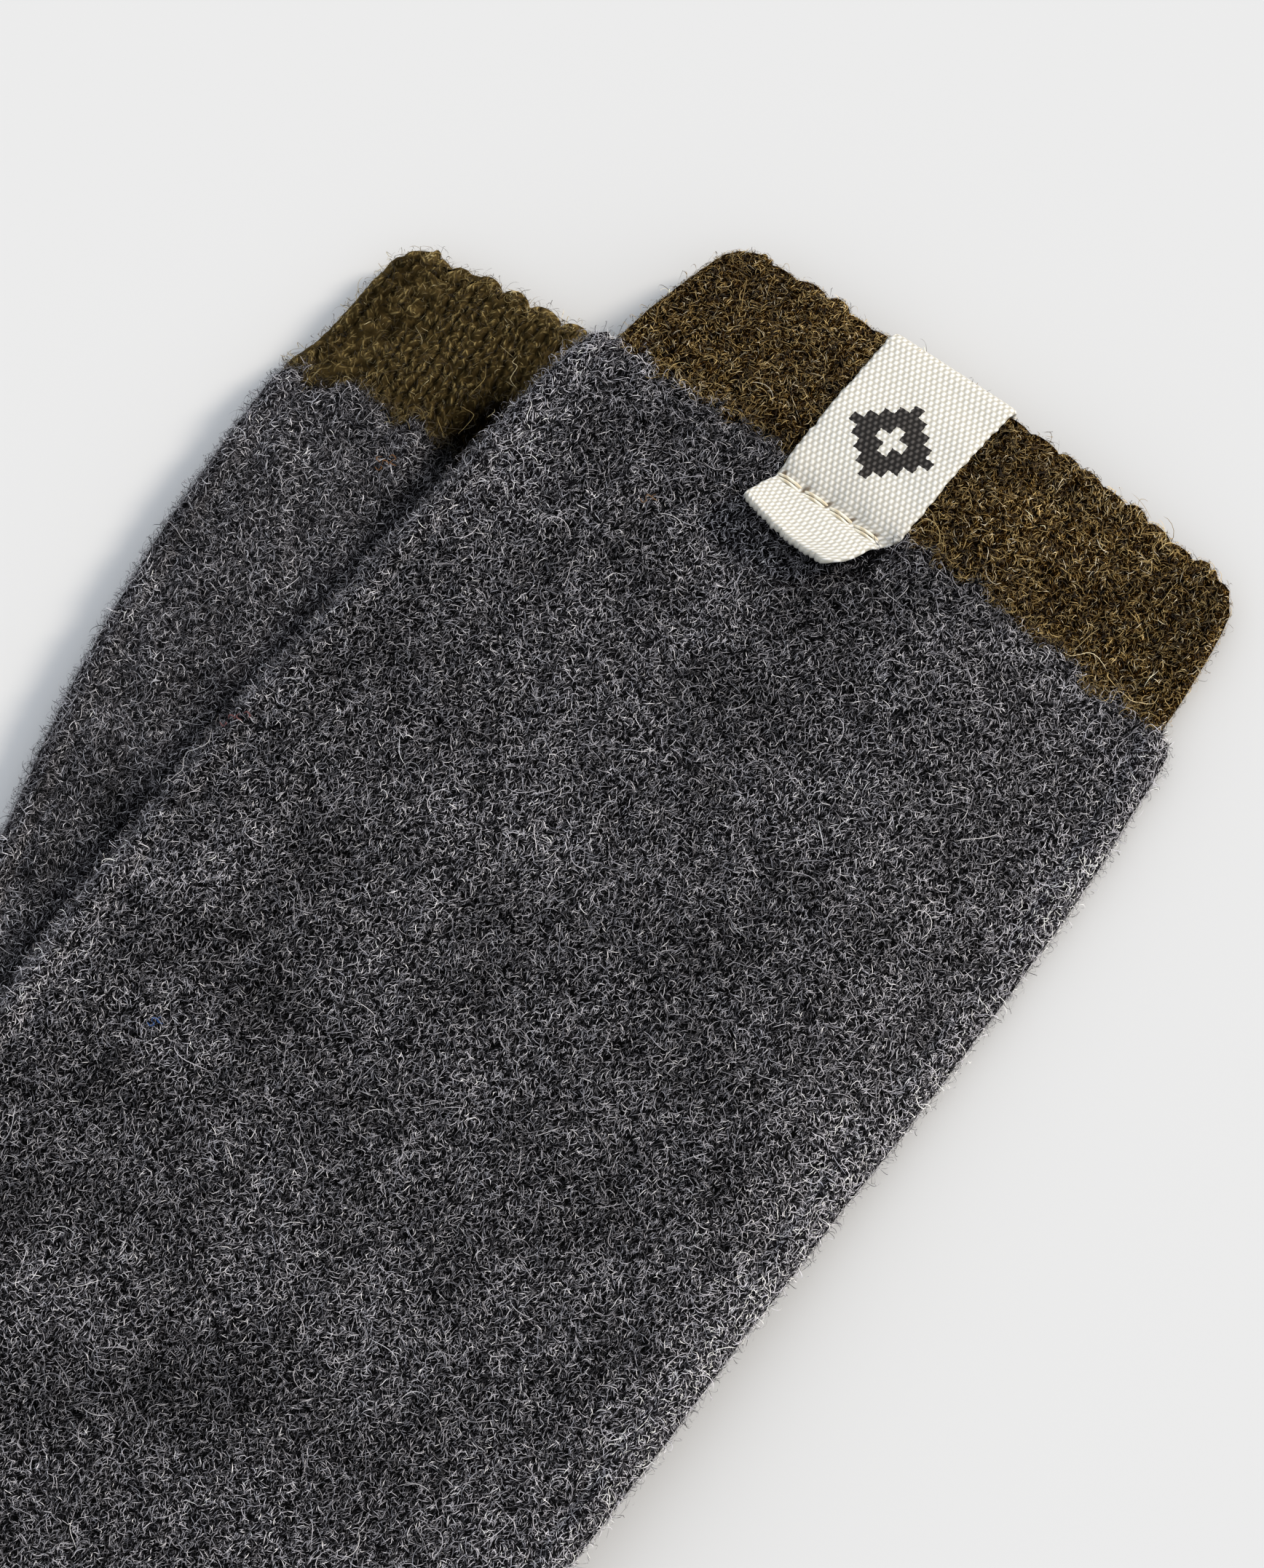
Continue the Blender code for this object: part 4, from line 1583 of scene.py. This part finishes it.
@dataclass(frozen=True)
class FibreCoat:
    """A coat of loose fibres over a shell, scattered by a node tree."""

    name: str
    forms: FibreForms
    density: float
    seed: int
    spread: float = 0.9
    size: tuple[float, float] = (0.75, 1.25)
    where: str = COAT
    tone_width: float = 0.004

    def tree(self) -> bpy.types.NodeTree:
        """Builds the node tree: scatter, pick a form, turn it along the grain, give it a shade.

        Returns:
            The tree.
        """
        inputs = {"Geometry": "Geometry", "Forms": "Object", "Fibres per square metre": "Float"}
        inputs |= {"Spread": "Float", "Smallest": "Float", "Largest": "Float", "Finish": "Material"}
        tree, given = new_group(self.name, inputs)
        names = {self.where: "FLOAT", TONE: "FLOAT", VARIANT: "INT"}
        names |= {GRAIN: "FLOAT_VECTOR", STRIP: "FLOAT_VECTOR"}
        coat, tone, number, grain, strip = (
            add_node(tree, NAMED, {"Name": name}, data_type=kind) for name, kind in names.items()
        )
        # The ends of what is drawn at random: the swing, a flip, the size, the form and the shade.
        sizes, last = (given["Smallest"], given["Largest"]), self.forms.forms - 1
        draws = []
        for turn, (low, high) in enumerate(((-1.0, 1.0), (0, 1), sizes, (0, last), (0.01, 0.99)), 1):
            first, kind = (4, "INT") if isinstance(low, int) else (2, "FLOAT")
            ends = {first: low, first + 1: high, "Seed": self.seed + turn}
            draws.append(add_node(tree, RANDOM, ends, data_type=kind).outputs[first // 2])
        swing, flip, size, pick, shade = draws

        dense = add_node(tree, MATH, (coat, given["Fibres per square metre"]), operation="MULTIPLY")
        spots = {"Mesh": given["Geometry"], "Density": dense, "Seed": self.seed}
        scatter = add_node(tree, "GeometryNodeDistributePointsOnFaces", spots).outputs
        source = add_node(tree, "GeometryNodeObjectInfo", {"Object": given["Forms"]}).outputs["Geometry"]
        parts = {"Geometry": source, "Group ID": number}
        split = add_node(tree, "GeometryNodeSplitToInstances", parts, domain="FACE")
        facing = {"Rotation": scatter["Rotation"], "Vector": grain}
        along = add_node(tree, ALIGN, facing, axis="X", pivot_axis="Z")
        swung = add_node(tree, MATH, (swing, given["Spread"]), operation="MULTIPLY")
        half_turns = add_node(tree, MATH, (flip, math.pi, swung), operation="MULTIPLY_ADD")
        spin = add_node(tree, EULER, (add_node(tree, COMBINE, {"Z": half_turns}),))
        turned = add_node(tree, ROTATE, {"Rotation": along, "Rotate By": spin}, rotation_space="LOCAL")
        picked = {"Instance": split, "Pick Instance": True, "Instance Index": pick}
        placed = {"Points": scatter["Points"], "Rotation": turned, "Scale": size}
        laid = add_node(tree, PLACE, {**picked, **placed})
        kept = {"Geometry": laid, "Name": TONE, "Value": shade}
        toned = add_node(tree, KEEP_NAMED, kept, data_type="FLOAT", domain="INSTANCE")
        real = add_node(tree, REALIZE, {"Geometry": toned})
        slim = add_node(tree, VECTOR_MATH, (strip, (self.tone_width, 1.0, 0.0)), operation="MULTIPLY")
        place = add_node(tree, VECTOR_MATH, (slim, add_node(tree, COMBINE, (tone,))), operation="ADD")
        kept = {"Geometry": real, "Name": TONE_MAP}
        bare = add_node(tree, KEEP_NAMED, kept, data_type="FLOAT2", domain="CORNER")
        value = next(socket for socket in bare.inputs if socket.name == "Value" and socket.enabled)
        tree.links.new(place.outputs[0], value)
        for name in (TONE, STRIP, VARIANT):
            bare = add_node(tree, DROP_NAMED, {"Geometry": bare, "Name": name})
        dressed = add_node(tree, SET_MATERIAL, {"Geometry": bare, "Material": given["Finish"]})
        add_node(tree, "NodeGroupOutput", {"Geometry": dressed})
        return tree

    def build(self, shell: Piece, finish: Material) -> Piece:
        """Scatters the coat over a shell.

        Args:
            shell: the cloth that the fibres stand on.
            finish: the fibres' material.

        Returns:
            The coat, as one mesh.
        """
        forms = self.forms.build()
        values = {"Forms": forms, "Fibres per square metre": self.density * 1e6, "Spread": self.spread}
        values |= {"Smallest": self.size[0], "Largest": self.size[1], "Finish": finish}
        made = grown(new_object(self.name + "_host", shell.data.copy()), self.tree(), values)
        bpy.data.objects.remove(forms)
        # What would dip into the surface under the pair lies on it.
        places = places_of(made)
        places[:, 2] = np.maximum(places[:, 2], LOWEST_FIBRE * MM)
        made.data.vertices.foreach_set("co", places.ravel())
        return made


@dataclass(frozen=True)
class Hair:
    """One long hair that lies on a sock: its shade, and places in the sock's flat coordinates."""

    shade: float
    places: Pairs

    def ribbon(self, lay: Lay, cloth: Array) -> tuple[Array, Array]:
        """Lays the hair on the cloth.

        Args:
            lay: how the sock lies.
            cloth: the vertices of what the hair lies on.

        Returns:
            The middle line's points, and the direction across the hair at each.
        """
        rows = spline(np.array(self.places), np.arange(0.0, len(self.places) - 1 + 1e-9, 1.0 / HAIR_STEPS))
        lying = lay.laid(rows[:, 0], rows[:, 1])
        near = np.hypot(cloth[:, None, 0] - lying[:, 0], cloth[:, None, 1] - lying[:, 1]) < 1.6
        up = np.where(near, cloth[:, 2:], 0.0).max(axis=0) + 0.25
        up += 0.35 * np.abs(np.sin(np.linspace(0.3, 5.0, len(up)) + 9.0 * self.shade))
        step = unit(np.gradient(lying, axis=0))
        return np.column_stack([lying, up]), np.column_stack([-step[:, 1], step[:, 0], 0 * up])


def fleck_curl(x: float, y: float, turn: int) -> Pairs:
    """Places of a short curled fibre round a spot, turned a little more for each number."""
    angles = [1.9 * turn + 1.3 * step for step in range(4)]
    return tuple((x + 0.5 * math.cos(a), y + 0.36 * math.sin(a)) for a in angles)


def lay_hairs(
    name: str, hairs: tuple[Hair, ...], lay: Lay, shell: Piece, finish: Material, width: float = HAIR_WIDTH
) -> Piece:
    """Lays single hairs on a shell.

    Args:
        name: of the piece.
        hairs: the hairs.
        lay: how the sock lies.
        shell: what they lie on.
        finish: the fibres' material.
        width: how wide a hair is.

    Returns:
        All the hairs, as one mesh.
    """
    cloth = places_of(shell) / MM
    points, faces, shades = [], [], []
    for hair in hairs:
        middle, across = hair.ribbon(lay, cloth)
        count, first = len(middle), len(points)
        slim = width / 2 * np.sqrt(np.sin(np.linspace(0.15, math.pi - 0.15, count)))[:, None]
        points += [*(middle - slim * across), *(middle + slim * across)]
        faces += [(k, k + count, k + count + 1, k + 1) for k in range(first, first + count - 1)]
        shades += [hair.shade] * 4 * (count - 1)
    made = mesh_object(name, np.array(points), faces, finish, {PAINTED_LIGHT_AND_SHADE: np.ones(len(points))})
    keep_map(made, TONE_MAP, np.column_stack([shades, np.tile([0.0, 0.001, 0.001, 0.0], len(faces))]))
    return made


@dataclass(frozen=True)
class StitchLine:
    """A row of hand stitches in double thread, each strand a shallow arch that dips at its ends."""

    name: str = "upper_sock_label_stitches"
    count: int = 4
    first: float = -8.4
    length: float = 0.93 * STITCH
    thickness: float = 0.4
    apart: float = 0.56
    arch: float = 1.1
    dip: float = 0.35
    seed: int = 8

    def tree(self) -> bpy.types.NodeTree:
        """Builds the node tree: one double stitch, laid on each point along the line's direction.

        Returns:
            The tree.
        """
        sizes = {name: "Float" for name in ("Length", "Thickness", "Apart", "Arch", "Dip")}
        tree, given = new_group(self.name, {"Geometry": "Geometry", **sizes, "Finish": "Material"})
        names = ("Dip", "Length", "Length", "Thickness", "Apart", "Apart")
        low, start, end, radius, left, right = (
            add_node(tree, MATH, (given[name], times), operation="MULTIPLY")
            for name, times in zip(names, (-1.0, -0.5, 0.5, 0.5, -0.5, 0.5))
        )
        start, end = (add_node(tree, COMBINE, {"X": reach, "Z": low}) for reach in (start, end))
        top = add_node(tree, COMBINE, {"Z": given["Arch"]})
        arch = {"Resolution": 10, "Start": start, "Middle": top, "End": end}
        line = add_node(tree, "GeometryNodeCurveQuadraticBezier", arch)
        circle = add_node(tree, "GeometryNodeCurvePrimitiveCircle", {"Resolution": 8, "Radius": radius})
        strand = add_node(tree, "GeometryNodeCurveToMesh", {0: line, 1: circle, "Fill Caps": True})
        both = add_node(tree, "GeometryNodeJoinGeometry")
        for aside in (left, right):
            shift = {"Geometry": strand, "Translation": add_node(tree, COMBINE, {"Y": aside})}
            fill(tree, both, (add_node(tree, "GeometryNodeTransform", shift),))
        along = add_node(tree, NAMED, {"Name": GRAIN}, data_type="FLOAT_VECTOR")
        facing = add_node(tree, ALIGN, {"Vector": along}, axis="X", pivot_axis="Z")
        sway = {0: (0.0, -0.05, -0.09), 1: (0.0, 0.05, 0.09), "Seed": self.seed}
        spin = add_node(tree, EULER, (add_node(tree, RANDOM, sway, data_type="FLOAT_VECTOR"),))
        turned = add_node(tree, ROTATE, {"Rotation": facing, "Rotate By": spin}, rotation_space="LOCAL")
        laid = add_node(tree, PLACE, {"Points": given["Geometry"], "Instance": both, "Rotation": turned})
        real = add_node(tree, REALIZE, {"Geometry": laid})
        bare = add_node(tree, DROP_NAMED, {"Geometry": real, "Name": GRAIN})
        dressed = add_node(tree, SET_MATERIAL, {"Geometry": bare, "Material": given["Finish"]})
        add_node(tree, "NodeGroupOutput", {"Geometry": dressed})
        return tree

    def build(self, tape: TapeLabel, finish: Material) -> Piece:
        """Sews the tape down.

        Args:
            tape: what the stitches hold.
            finish: the thread's material.

        Returns:
            The stitches, as one mesh.
        """
        middles = self.first + STITCH * (np.arange(self.count) + 0.5)
        turn = math.radians(tape.lay.turn)
        grain = np.tile([math.cos(turn), math.sin(turn), 0.0], (self.count, 1))
        host = mesh_object(self.name + "_host", tape.sewn_points(middles), [], None, {GRAIN: grain})
        sizes = {"Length": self.length, "Thickness": self.thickness, "Apart": self.apart, "Arch": self.arch}
        sizes = {name: size * MM for name, size in {**sizes, "Dip": self.dip}.items()}
        made = grown(host, self.tree(), {**sizes, "Finish": finish})
        made.data.shade_smooth()
        return made


# --- Studio ---------------------------------------------------------------------------------------


@dataclass(frozen=True)
class Studio:
    """A pale floor in soft light from the right, and the camera over the cuffs."""

    target: tuple[float, float, float] = (-0.0806, 0.1385, 0.008)
    distance: float = 0.80
    tilt: float = 23.0
    right: tuple[float, float, float] = (0.82293, 0.56814, 0.0)
    ahead: tuple[float, float, float] = (-0.56814, 0.82293, 0.0)
    lens: float = 142.10
    floor_half: float = 6.0
    sky: tuple[float, float, float] = (0.885, 0.932, 0.995)
    sun_colour: tuple[float, float, float] = (1.0, 0.907, 0.783)
    sun_strength: float = 3.19
    sun_height: float = 30.0
    sun_aside: float = 16.0
    sun_size: float = 15.0

    def build(self) -> None:
        """Sets up the camera, the lights and the floor."""
        self.place_camera()
        self.place_lights()
        corners = [(x, y, 0.0) for x, y in ((-1, -1), (1, -1), (1, 1), (-1, 1))]
        corners = self.floor_half / MM * np.array(corners)
        floor = mesh_object("floor", corners, [(0, 1, 2, 3)], PaleFloor().material())
        bpy.context.scene.view_settings.view_transform = "Standard"

    def place_camera(self) -> None:
        """Puts the camera at the photograph's angle to the laid socks."""
        right, ahead, upright = Vector(self.right), Vector(self.ahead), Vector((0.0, 0.0, 1.0))
        tilt = math.radians(self.tilt)
        up = ahead * math.cos(tilt) + upright * math.sin(tilt)
        back = -ahead * math.sin(tilt) + upright * math.cos(tilt)
        data = bpy.data.cameras.new("camera")
        data.lens, data.sensor_width, data.clip_start = self.lens, 36.0, 0.01
        camera = new_object("camera", data)
        turn = Matrix((right, up, back)).transposed().to_4x4()
        camera.matrix_world = Matrix.Translation(Vector(self.target) + back * self.distance) @ turn
        bpy.context.scene.camera = camera

    def place_lights(self) -> None:
        """Sets an even sky and one broad soft light from the right."""
        world = bpy.data.worlds.new("studio")
        world.use_nodes = True
        background = world.node_tree.nodes["Background"]
        fill(world.node_tree, background, {"Color": (*self.sky, 1.0), "Strength": 1.0})
        bpy.context.scene.world = world
        aside, height = math.radians(self.sun_aside), math.radians(self.sun_height)
        level = Vector(self.right) * math.cos(aside) + Vector(self.ahead) * math.sin(aside)
        towards = level * math.cos(height) + Vector((0.0, 0.0, math.sin(height)))
        light = bpy.data.lights.new("soft_light", "SUN")
        light.energy, light.color = self.sun_strength, self.sun_colour
        light.angle = math.radians(self.sun_size)
        lamp = new_object("soft_light", light)
        lamp.rotation_mode = "QUATERNION"
        lamp.rotation_quaternion = towards.to_track_quat("Z", "Y")
        lamp.location = towards


# --- The pair -------------------------------------------------------------------------------------

# Creases, in each sock's flat coordinates: start, end, width, height and bow. Each trough is also darkened as
# painted shade; the lower sock's first, deepest one nearly to black.
UPPER_CREASES = (
    Crease((-18.0, -2.8), (4.8, -2.8), 2.2, -0.6),
    Crease((-17.5, -7.6), (3.0, -8.2), 1.5, -0.75, -2.0),
    Crease((-23.5, -12.0), (-26.5, -26.0), 1.3, -0.55, 0.6),
    Crease((-14.5, -9.5), (-16.0, -33.0), 1.4, -0.4, 0.8),
    Crease((-30.0, -22.0), (-33.0, -48.0), 1.8, -0.25, -1.0),
    Crease((-19.5, -10.0), (-21.0, -30.0), 2.2, 0.25, 0.3),
    Crease((6.0, -30.0), (3.0, -62.0), 2.6, -0.16, 1.2),
    Crease((24.0, -66.0), (30.0, -104.0), 3.0, -0.18, -1.5),
    Crease((-36.0, -70.0), (-30.0, -112.0), 2.8, -0.2, 1.4),
    Crease((-12.0, -120.0), (-4.0, -158.0), 3.4, -0.2, 1.5),
    Crease((-42.0, -262.0), (-8.0, -270.0), 3.2, -0.8, 2.0),
    Crease((43.0, -262.0), (6.0, -282.0), 3.4, -1.0, -3.0),
    Crease((44.0, -276.0), (16.0, -300.0), 2.8, -0.7, -2.0),
    Crease((-42.0, -290.0), (-20.0, -300.0), 3.6, 0.5, 1.0),
    Crease((60.0, -306.0), (36.0, -344.0), 3.4, -0.6, 2.5),
    Crease((150.0, -330.0), (156.0, -384.0), 3.0, -0.4, 2.0),
)
LOWER_CREASES = (
    Crease((-19.0, 11.0), (-23.0, -3.5), 2.7, -2.1),
    Crease((-21.0, 1.0), (-26.0, -17.0), 2.4, -0.9),
    Crease((-30.0, -6.0), (-33.0, -24.0), 1.8, -0.3, 0.6),
    Crease((-20.0, -20.0), (-24.0, -52.0), 2.2, -0.25, 1.0),
    Crease((-40.0, -56.0), (-34.0, -88.0), 2.2, -0.22, 0.8),
    Crease((-40.0, -258.0), (-4.0, -268.0), 3.4, -0.8, 2.2),
    Crease((42.0, -258.0), (8.0, -280.0), 3.2, -0.9, -2.6),
    Crease((45.0, -280.0), (14.0, -306.0), 3.0, -0.7, -2.0),
    Crease((66.0, -306.0), (40.0, -350.0), 3.4, -0.5, 2.0),
    Crease((156.0, -334.0), (160.0, -388.0), 3.0, -0.4, 1.6),
)

# How far each cuff's rim stands above its plain height, at places across.
LOWER_RIM = ((-44.0, -36.0), (0.9, 0.1))
UPPER_RIM = ((-43.0, -37.0, 22.0, 31.0, 40.0), (2.6, 1.4, 1.3, 0.2, -0.3))

# Shades of the fibres and of the cloth under them; the lower sock is less brushed, so it is softer.
GREY_SHADES = ((0.0, "#0B0A0C"), (0.32, "#2B2A2D"), (0.57, "#706E72"), (0.9, "#ACA9AE"), (1.0, "#DAD7D6"))
OLIVE_SHADES = ((0.0, "#160E06"), (0.3, "#423014"), (0.57, "#8C713E"), (0.9, "#CDB278"), (1.0, "#EEE2C8"))
SOFT_GREY = ((0.0, "#19181A"), (0.35, "#3B393D"), (0.6, "#69676B"), (0.9, "#A4A2A6"), (1.0, "#D8D5D8"))
SOFT_OLIVE = ((0.0, "#1A1207"), (0.35, "#3A2D15"), (0.6, "#5F4E2B"), (0.9, "#8F7C4C"), (1.0, "#C4B68F"))
BARE_GREY = ("#2A292B", "#535255", "#A7A5A9")
BARE_OLIVE = ("#2A200D", "#5A4A26", "#A08B54")
GREY_CLOTH = ("#050505", "#222124", "#A2A0A4")
OLIVE_CLOTH = ("#0A0603", "#452F14", "#AB8B50")
SOFT_GREY_CLOTH = ("#0A0A0B", "#333234", "#8E8C90")
SOFT_OLIVE_CLOTH = ("#40341D", "#6B5B38", "#8F7D53")

# Single hairs that catch the light.
LOWER_HAIRS = (
    Hair(0.98, ((-21.4, 15.7), (-21.4, 14.6), (-20.5, 14.3), (-20.4, 12.4), (-19.0, 11.6))),
    Hair(0.8, ((-24.2, 12.4), (-23.4, 10.4), (-23.9, 7.5))),
    Hair(0.82, ((-24.1, 5.5), (-22.5, 5.8), (-22.0, 5.2), (-22.5, 2.3))),
    Hair(0.9, ((-25.9, 2.7), (-25.2, 1.9), (-23.8, 0.9))),
    Hair(0.97, ((-20.6, 6.5), (-20.0, 7.2), (-20.2, 7.9))),
    Hair(0.85, ((-30.4, -5.2), (-29.5, -5.4), (-28.9, -6.1))),
    Hair(0.8, ((-37.1, 2.7), (-36.8, 3.6), (-36.1, 4.1))),
    Hair(0.95, ((-31.4, -28.1), (-30.3, -26.6), (-29.8, -25.0))),
)
UPPER_HAIRS = (
    Hair(0.99, ((-53.2, -25.1), (-51.5, -25.6), (-51.2, -24.0), (-51.1, -23.4))),
    Hair(0.95, ((28.9, 1.0), (30.2, 1.3), (31.5, 2.9), (33.0, 3.3), (34.6, 2.7))),
    Hair(0.9, ((34.9, 2.5), (35.6, 1.9), (37.1, 1.6))),
    Hair(0.98, ((39.8, 4.0), (39.8, 5.5), (40.1, 6.8))),
    Hair(0.93, ((35.9, -0.7), (37.7, -0.8), (37.5, 1.1), (38.6, 1.3), (39.9, 1.2), (42.1, 2.6), (42.0, 4.2))),
    Hair(0.94, ((23.8, -10.1), (24.6, -7.5), (26.1, -4.2))),
    Hair(0.92, ((29.5, -7.2), (31.1, -4.6), (31.3, -2.4), (30.6, -0.6))),
    Hair(0.9, ((30.1, 21.0), (30.3, 22.2), (31.3, 23.4))),
    Hair(0.92, ((28.5, 6.7), (29.4, 5.9), (29.7, 5.0))),
    Hair(0.99, ((-51.7, -75.8), (-50.6, -78.0), (-52.3, -80.3), (-51.0, -82.4), (-52.0, -85.1))),
)

# Flecks of dyed wool: the sock, a name, a colour and where they lie.
FLECKS = (
    (Sock.UPPER, "blue", "#24406E", ((-32.8, -110.5), (-32.3, -110.0), (-33.1, -111.0))),
    (Sock.UPPER, "red", "#5E3C3C", ((-50.4, -73.3), (-49.6, -72.6), (-50.9, -74.4), (-49.0, -71.9))),
    (Sock.UPPER, "brown", "#66503C", ((-26.4, -15.6), (-25.8, -15.0), (-26.9, -16.2))),
    (
        Sock.LOWER, "brown", "#5C4028",
        ((-28.3, -6.7), (-27.4, -6.1), (-28.9, -7.6), (-27.9, -5.6), (-29.3, -6.5)),
    ),
)


@dataclass(frozen=True)
class Brushing:
    """How brushed a sock is: its shades, how its cuff's knit shows, and how thick its fibres lie."""

    greys: Stops
    olives: Stops
    grey_cloth: Shades
    olive_cloth: Shades
    # Painted highlight on the back fold, by inset from the side.
    back_highlight: Pairs
    hairs: tuple[Hair, ...]
    batches: int
    cuff_share: float
    cuff_fringe: float
    cuff: dict[str, Any]
    strands: dict[str, Any]


FULL = Brushing(
    GREY_SHADES,
    OLIVE_SHADES,
    GREY_CLOTH,
    OLIVE_CLOTH,
    ((0.0, 1.15), (1.5, 1.38), (4.0, 1.32), (6.0, 1.12), (8.5, 1.0)),
    UPPER_HAIRS,
    batches=2,
    cuff_share=1.1,
    cuff_fringe=1.6,
    cuff={"column": 0.4, "knit": 0.45, "shown": 0.8},
    strands={},
)
SOFT = Brushing(
    SOFT_GREY,
    SOFT_OLIVE,
    SOFT_GREY_CLOTH,
    SOFT_OLIVE_CLOTH,
    ((0.0, 1.0), (1.5, 1.12), (5.0, 1.05), (8.5, 1.0)),
    LOWER_HAIRS,
    batches=1,
    cuff_share=0.3,
    cuff_fringe=3.0,
    cuff={"column": 0.35, "knit": 0.9, "shown": 0.95, "fringe": 0.6, "flare": 2.0}
    | {"scallop_rise": (0.9, 2.1), "rim_highlight": 1.2, "side_highlight": 1.2},
    strands={"locks": (1.7, 1.4, 1.1), "spacing": 0.8, "swing": 1.0, "bow": 0.5, "relief": 0.4},
)

# The brightness of the darkest and lightest patches of each yarn, and how far the body's fibres turn
# from the cuff's.
GREY_PATCHES = (0.5, 1.54)
OLIVE_PATCHES = (0.62, 1.42)
LEG_TURN = 3.0


def carry(piece: Piece) -> None:
    """Lets a piece ride on the part and reports its triangles.

    Args:
        piece: the piece.
    """
    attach(piece, ROOT)
    LOG.info("%s: %d triangles", piece.name, sum(len(face.vertices) - 2 for face in piece.data.polygons))


@dataclass(frozen=True)
class DressedSock:
    """One sock: its shells, its coats of fibres, its single hairs and its flecks.

    The column is the body's column spacing. The mesh and the coat are fine as far down the leg as
    close says, and by how much less aside. The slope is how far the cuff's rim stands up.
    """

    lay: Lay
    ground: Ground
    creases: tuple[Crease, ...]
    column: float
    close: tuple[float, float]
    slope: tuple[tuple[float, ...], tuple[float, ...]]
    over: Lay | None
    seed: int
    wool: Brushing

    def build(self) -> Piece:
        """Builds the sock with all that lies on it.

        Returns:
            Its cuff, which the label lies on.
        """
        name, lay, seed, wool = self.lay.sock.value, self.lay, self.seed, self.wool
        on_leg, on_cuff = (*GREY_PATCHES, lay.turn + LEG_TURN), (*OLIVE_PATCHES, lay.turn)
        felt = FeltedWool(name + "_felted_wool", *on_leg, wool.grey_cloth, BARE_GREY)
        knit = FeltedWool(name + "_knitted_wool", *on_cuff, wool.olive_cloth, BARE_OLIVE, **wool.strands)
        grey = WoolFibre(name + "_grey_fibre", *on_leg, wool.greys).material()
        olive = WoolFibre(name + "_olive_fibre", *on_cuff, wool.olives).material()
        seam = SeamEdge(seed + 7)
        form = (self.ground, seam, self.creases, self.column, seed, *self.close, self.over, wool.back_highlight)
        body = SockBody(lay, *form).shell(felt.material())
        form = (self.ground, seam, seed + 9, self.slope, self.creases, self.over)
        cuff = SockCuff(lay, *form, **wool.cuff).shell(knit.material())
        coats = self.coats("body", body, grey, (1.0, 3.0, wool.batches), wool.hairs[-1:])
        cuff_coats = self.coats("cuff", cuff, olive, (wool.cuff_share, wool.cuff_fringe, 1), wool.hairs[:-1])
        for sock, dye, colour, spots in FLECKS:
            if sock is lay.sock:
                curls = tuple(Hair(0.5, fleck_curl(x, y, turn)) for turn, (x, y) in enumerate(spots))
                dyed = DyedFleck(f"{name}_{dye}_dyed_wool", colour).material()
                coats.append(lay_hairs(f"{name}_{dye}_fleck", curls, lay, body, dyed, CURL_WIDTH))
        for part, shell, fuzz, slot, flat, area in (
            ("body", body, coats, Slot.GREY, (0.2348, 0.528), 0.0992),
            ("cuff", cuff, cuff_coats, Slot.OLIVE, (0.1816, 0.024), 0.00424),
        ):
            for piece in (shell, *fuzz):
                carry(piece)
            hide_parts(f"{name}_{part}")
        return cuff

    def coats(
        self, part: str, shell: Piece, finish: Material, amount: tuple[float, ...], hairs: tuple[Hair, ...]
    ) -> list[Piece]:
        """Lays the fibres and the single hairs on a shell.

        Args:
            part: body or cuff.
            shell: what they stand on.
            finish: their material.
            amount: the share of the plain coat, the fibres of the edging to a square millimetre,
                and in how many batches the coat comes.
            hairs: the single hairs.

        Returns:
            The pieces.
        """
        share, fringe, batches = amount
        name, seed = f"{self.lay.sock.value}_{part}", self.seed
        short = FibreForms("short_fibres", seed + 20, 40, 2, (0.5, 1.1), 0.09, 0.7, (0.05, 0.3))
        curled = FibreForms("curled_fibres", seed + 23, 40, 3, (0.9, 1.9), 0.075, 0.8, (0.1, 0.45))
        loose = FibreForms("loose_fibres", seed + 22, 24, 6, (1.2, 2.8), 0.07, 0.5, (0.3, 1.4))
        stray = FibreForms("stray_fibres", seed + 21, 16, 8, (2.5, 6.0), 0.065, 1.6, (0.2, 1.0))
        coats = []
        for batch in range(batches):
            for kind, forms, plain, draw, spread in (
                ("short", short, 4.4, 36, 0.9),
                ("curled", curled, 2.6, 37, 1.2),
            ):
                dense, draw = plain * share / batches, seed + draw + 17 * batch
                coats.append(FibreCoat(f"{name}_{kind}_{batch + 1}", forms, dense, draw, spread))
        coats.append(FibreCoat(f"{name}_edging", loose, fringe, seed + 77, 1.8, where=EDGE))
        coats.append(FibreCoat(f"{name}_strays", stray, 0.06, seed + 99, 3.1))
        pieces = [coat.build(shell, finish) for coat in coats]
        return [*pieces, lay_hairs(f"{name}_hairs", hairs, self.lay, shell, finish)]


@dataclass(frozen=True)
class Pair:
    """Both socks with their coats of fibres and the upper one's label."""

    def build(self) -> None:
        """Builds, dresses and reports every piece."""
        floor, over_lower = Ground(), Ground(LOWER_LAY)
        lower = (LOWER_LAY, floor, LOWER_CREASES, 1.7, (96.0, 0.0), LOWER_RIM, UPPER_LAY, 100, SOFT)
        DressedSock(*lower).build()
        upper = (UPPER_LAY, over_lower, UPPER_CREASES, 1.2, (190.0, 0.72), UPPER_RIM, None, 200, FULL)
        cuff = DressedSock(*upper).build()
        tape = TapeLabel(UPPER_LAY, over_lower)
        label = tape.shell(WovenTape(tape.sewn_run()).material())
        stitches = StitchLine().build(tape, SewingThread().material())
        carry(label)
        carry(stitches)
        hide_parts("upper_sock_label")


def main() -> None:
    """Builds the studio and the pair."""
    logging.basicConfig(level=logging.INFO, format="%(message)s")
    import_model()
    Studio().build()
    Pair().build()


if __name__ == "__main__":
    main()
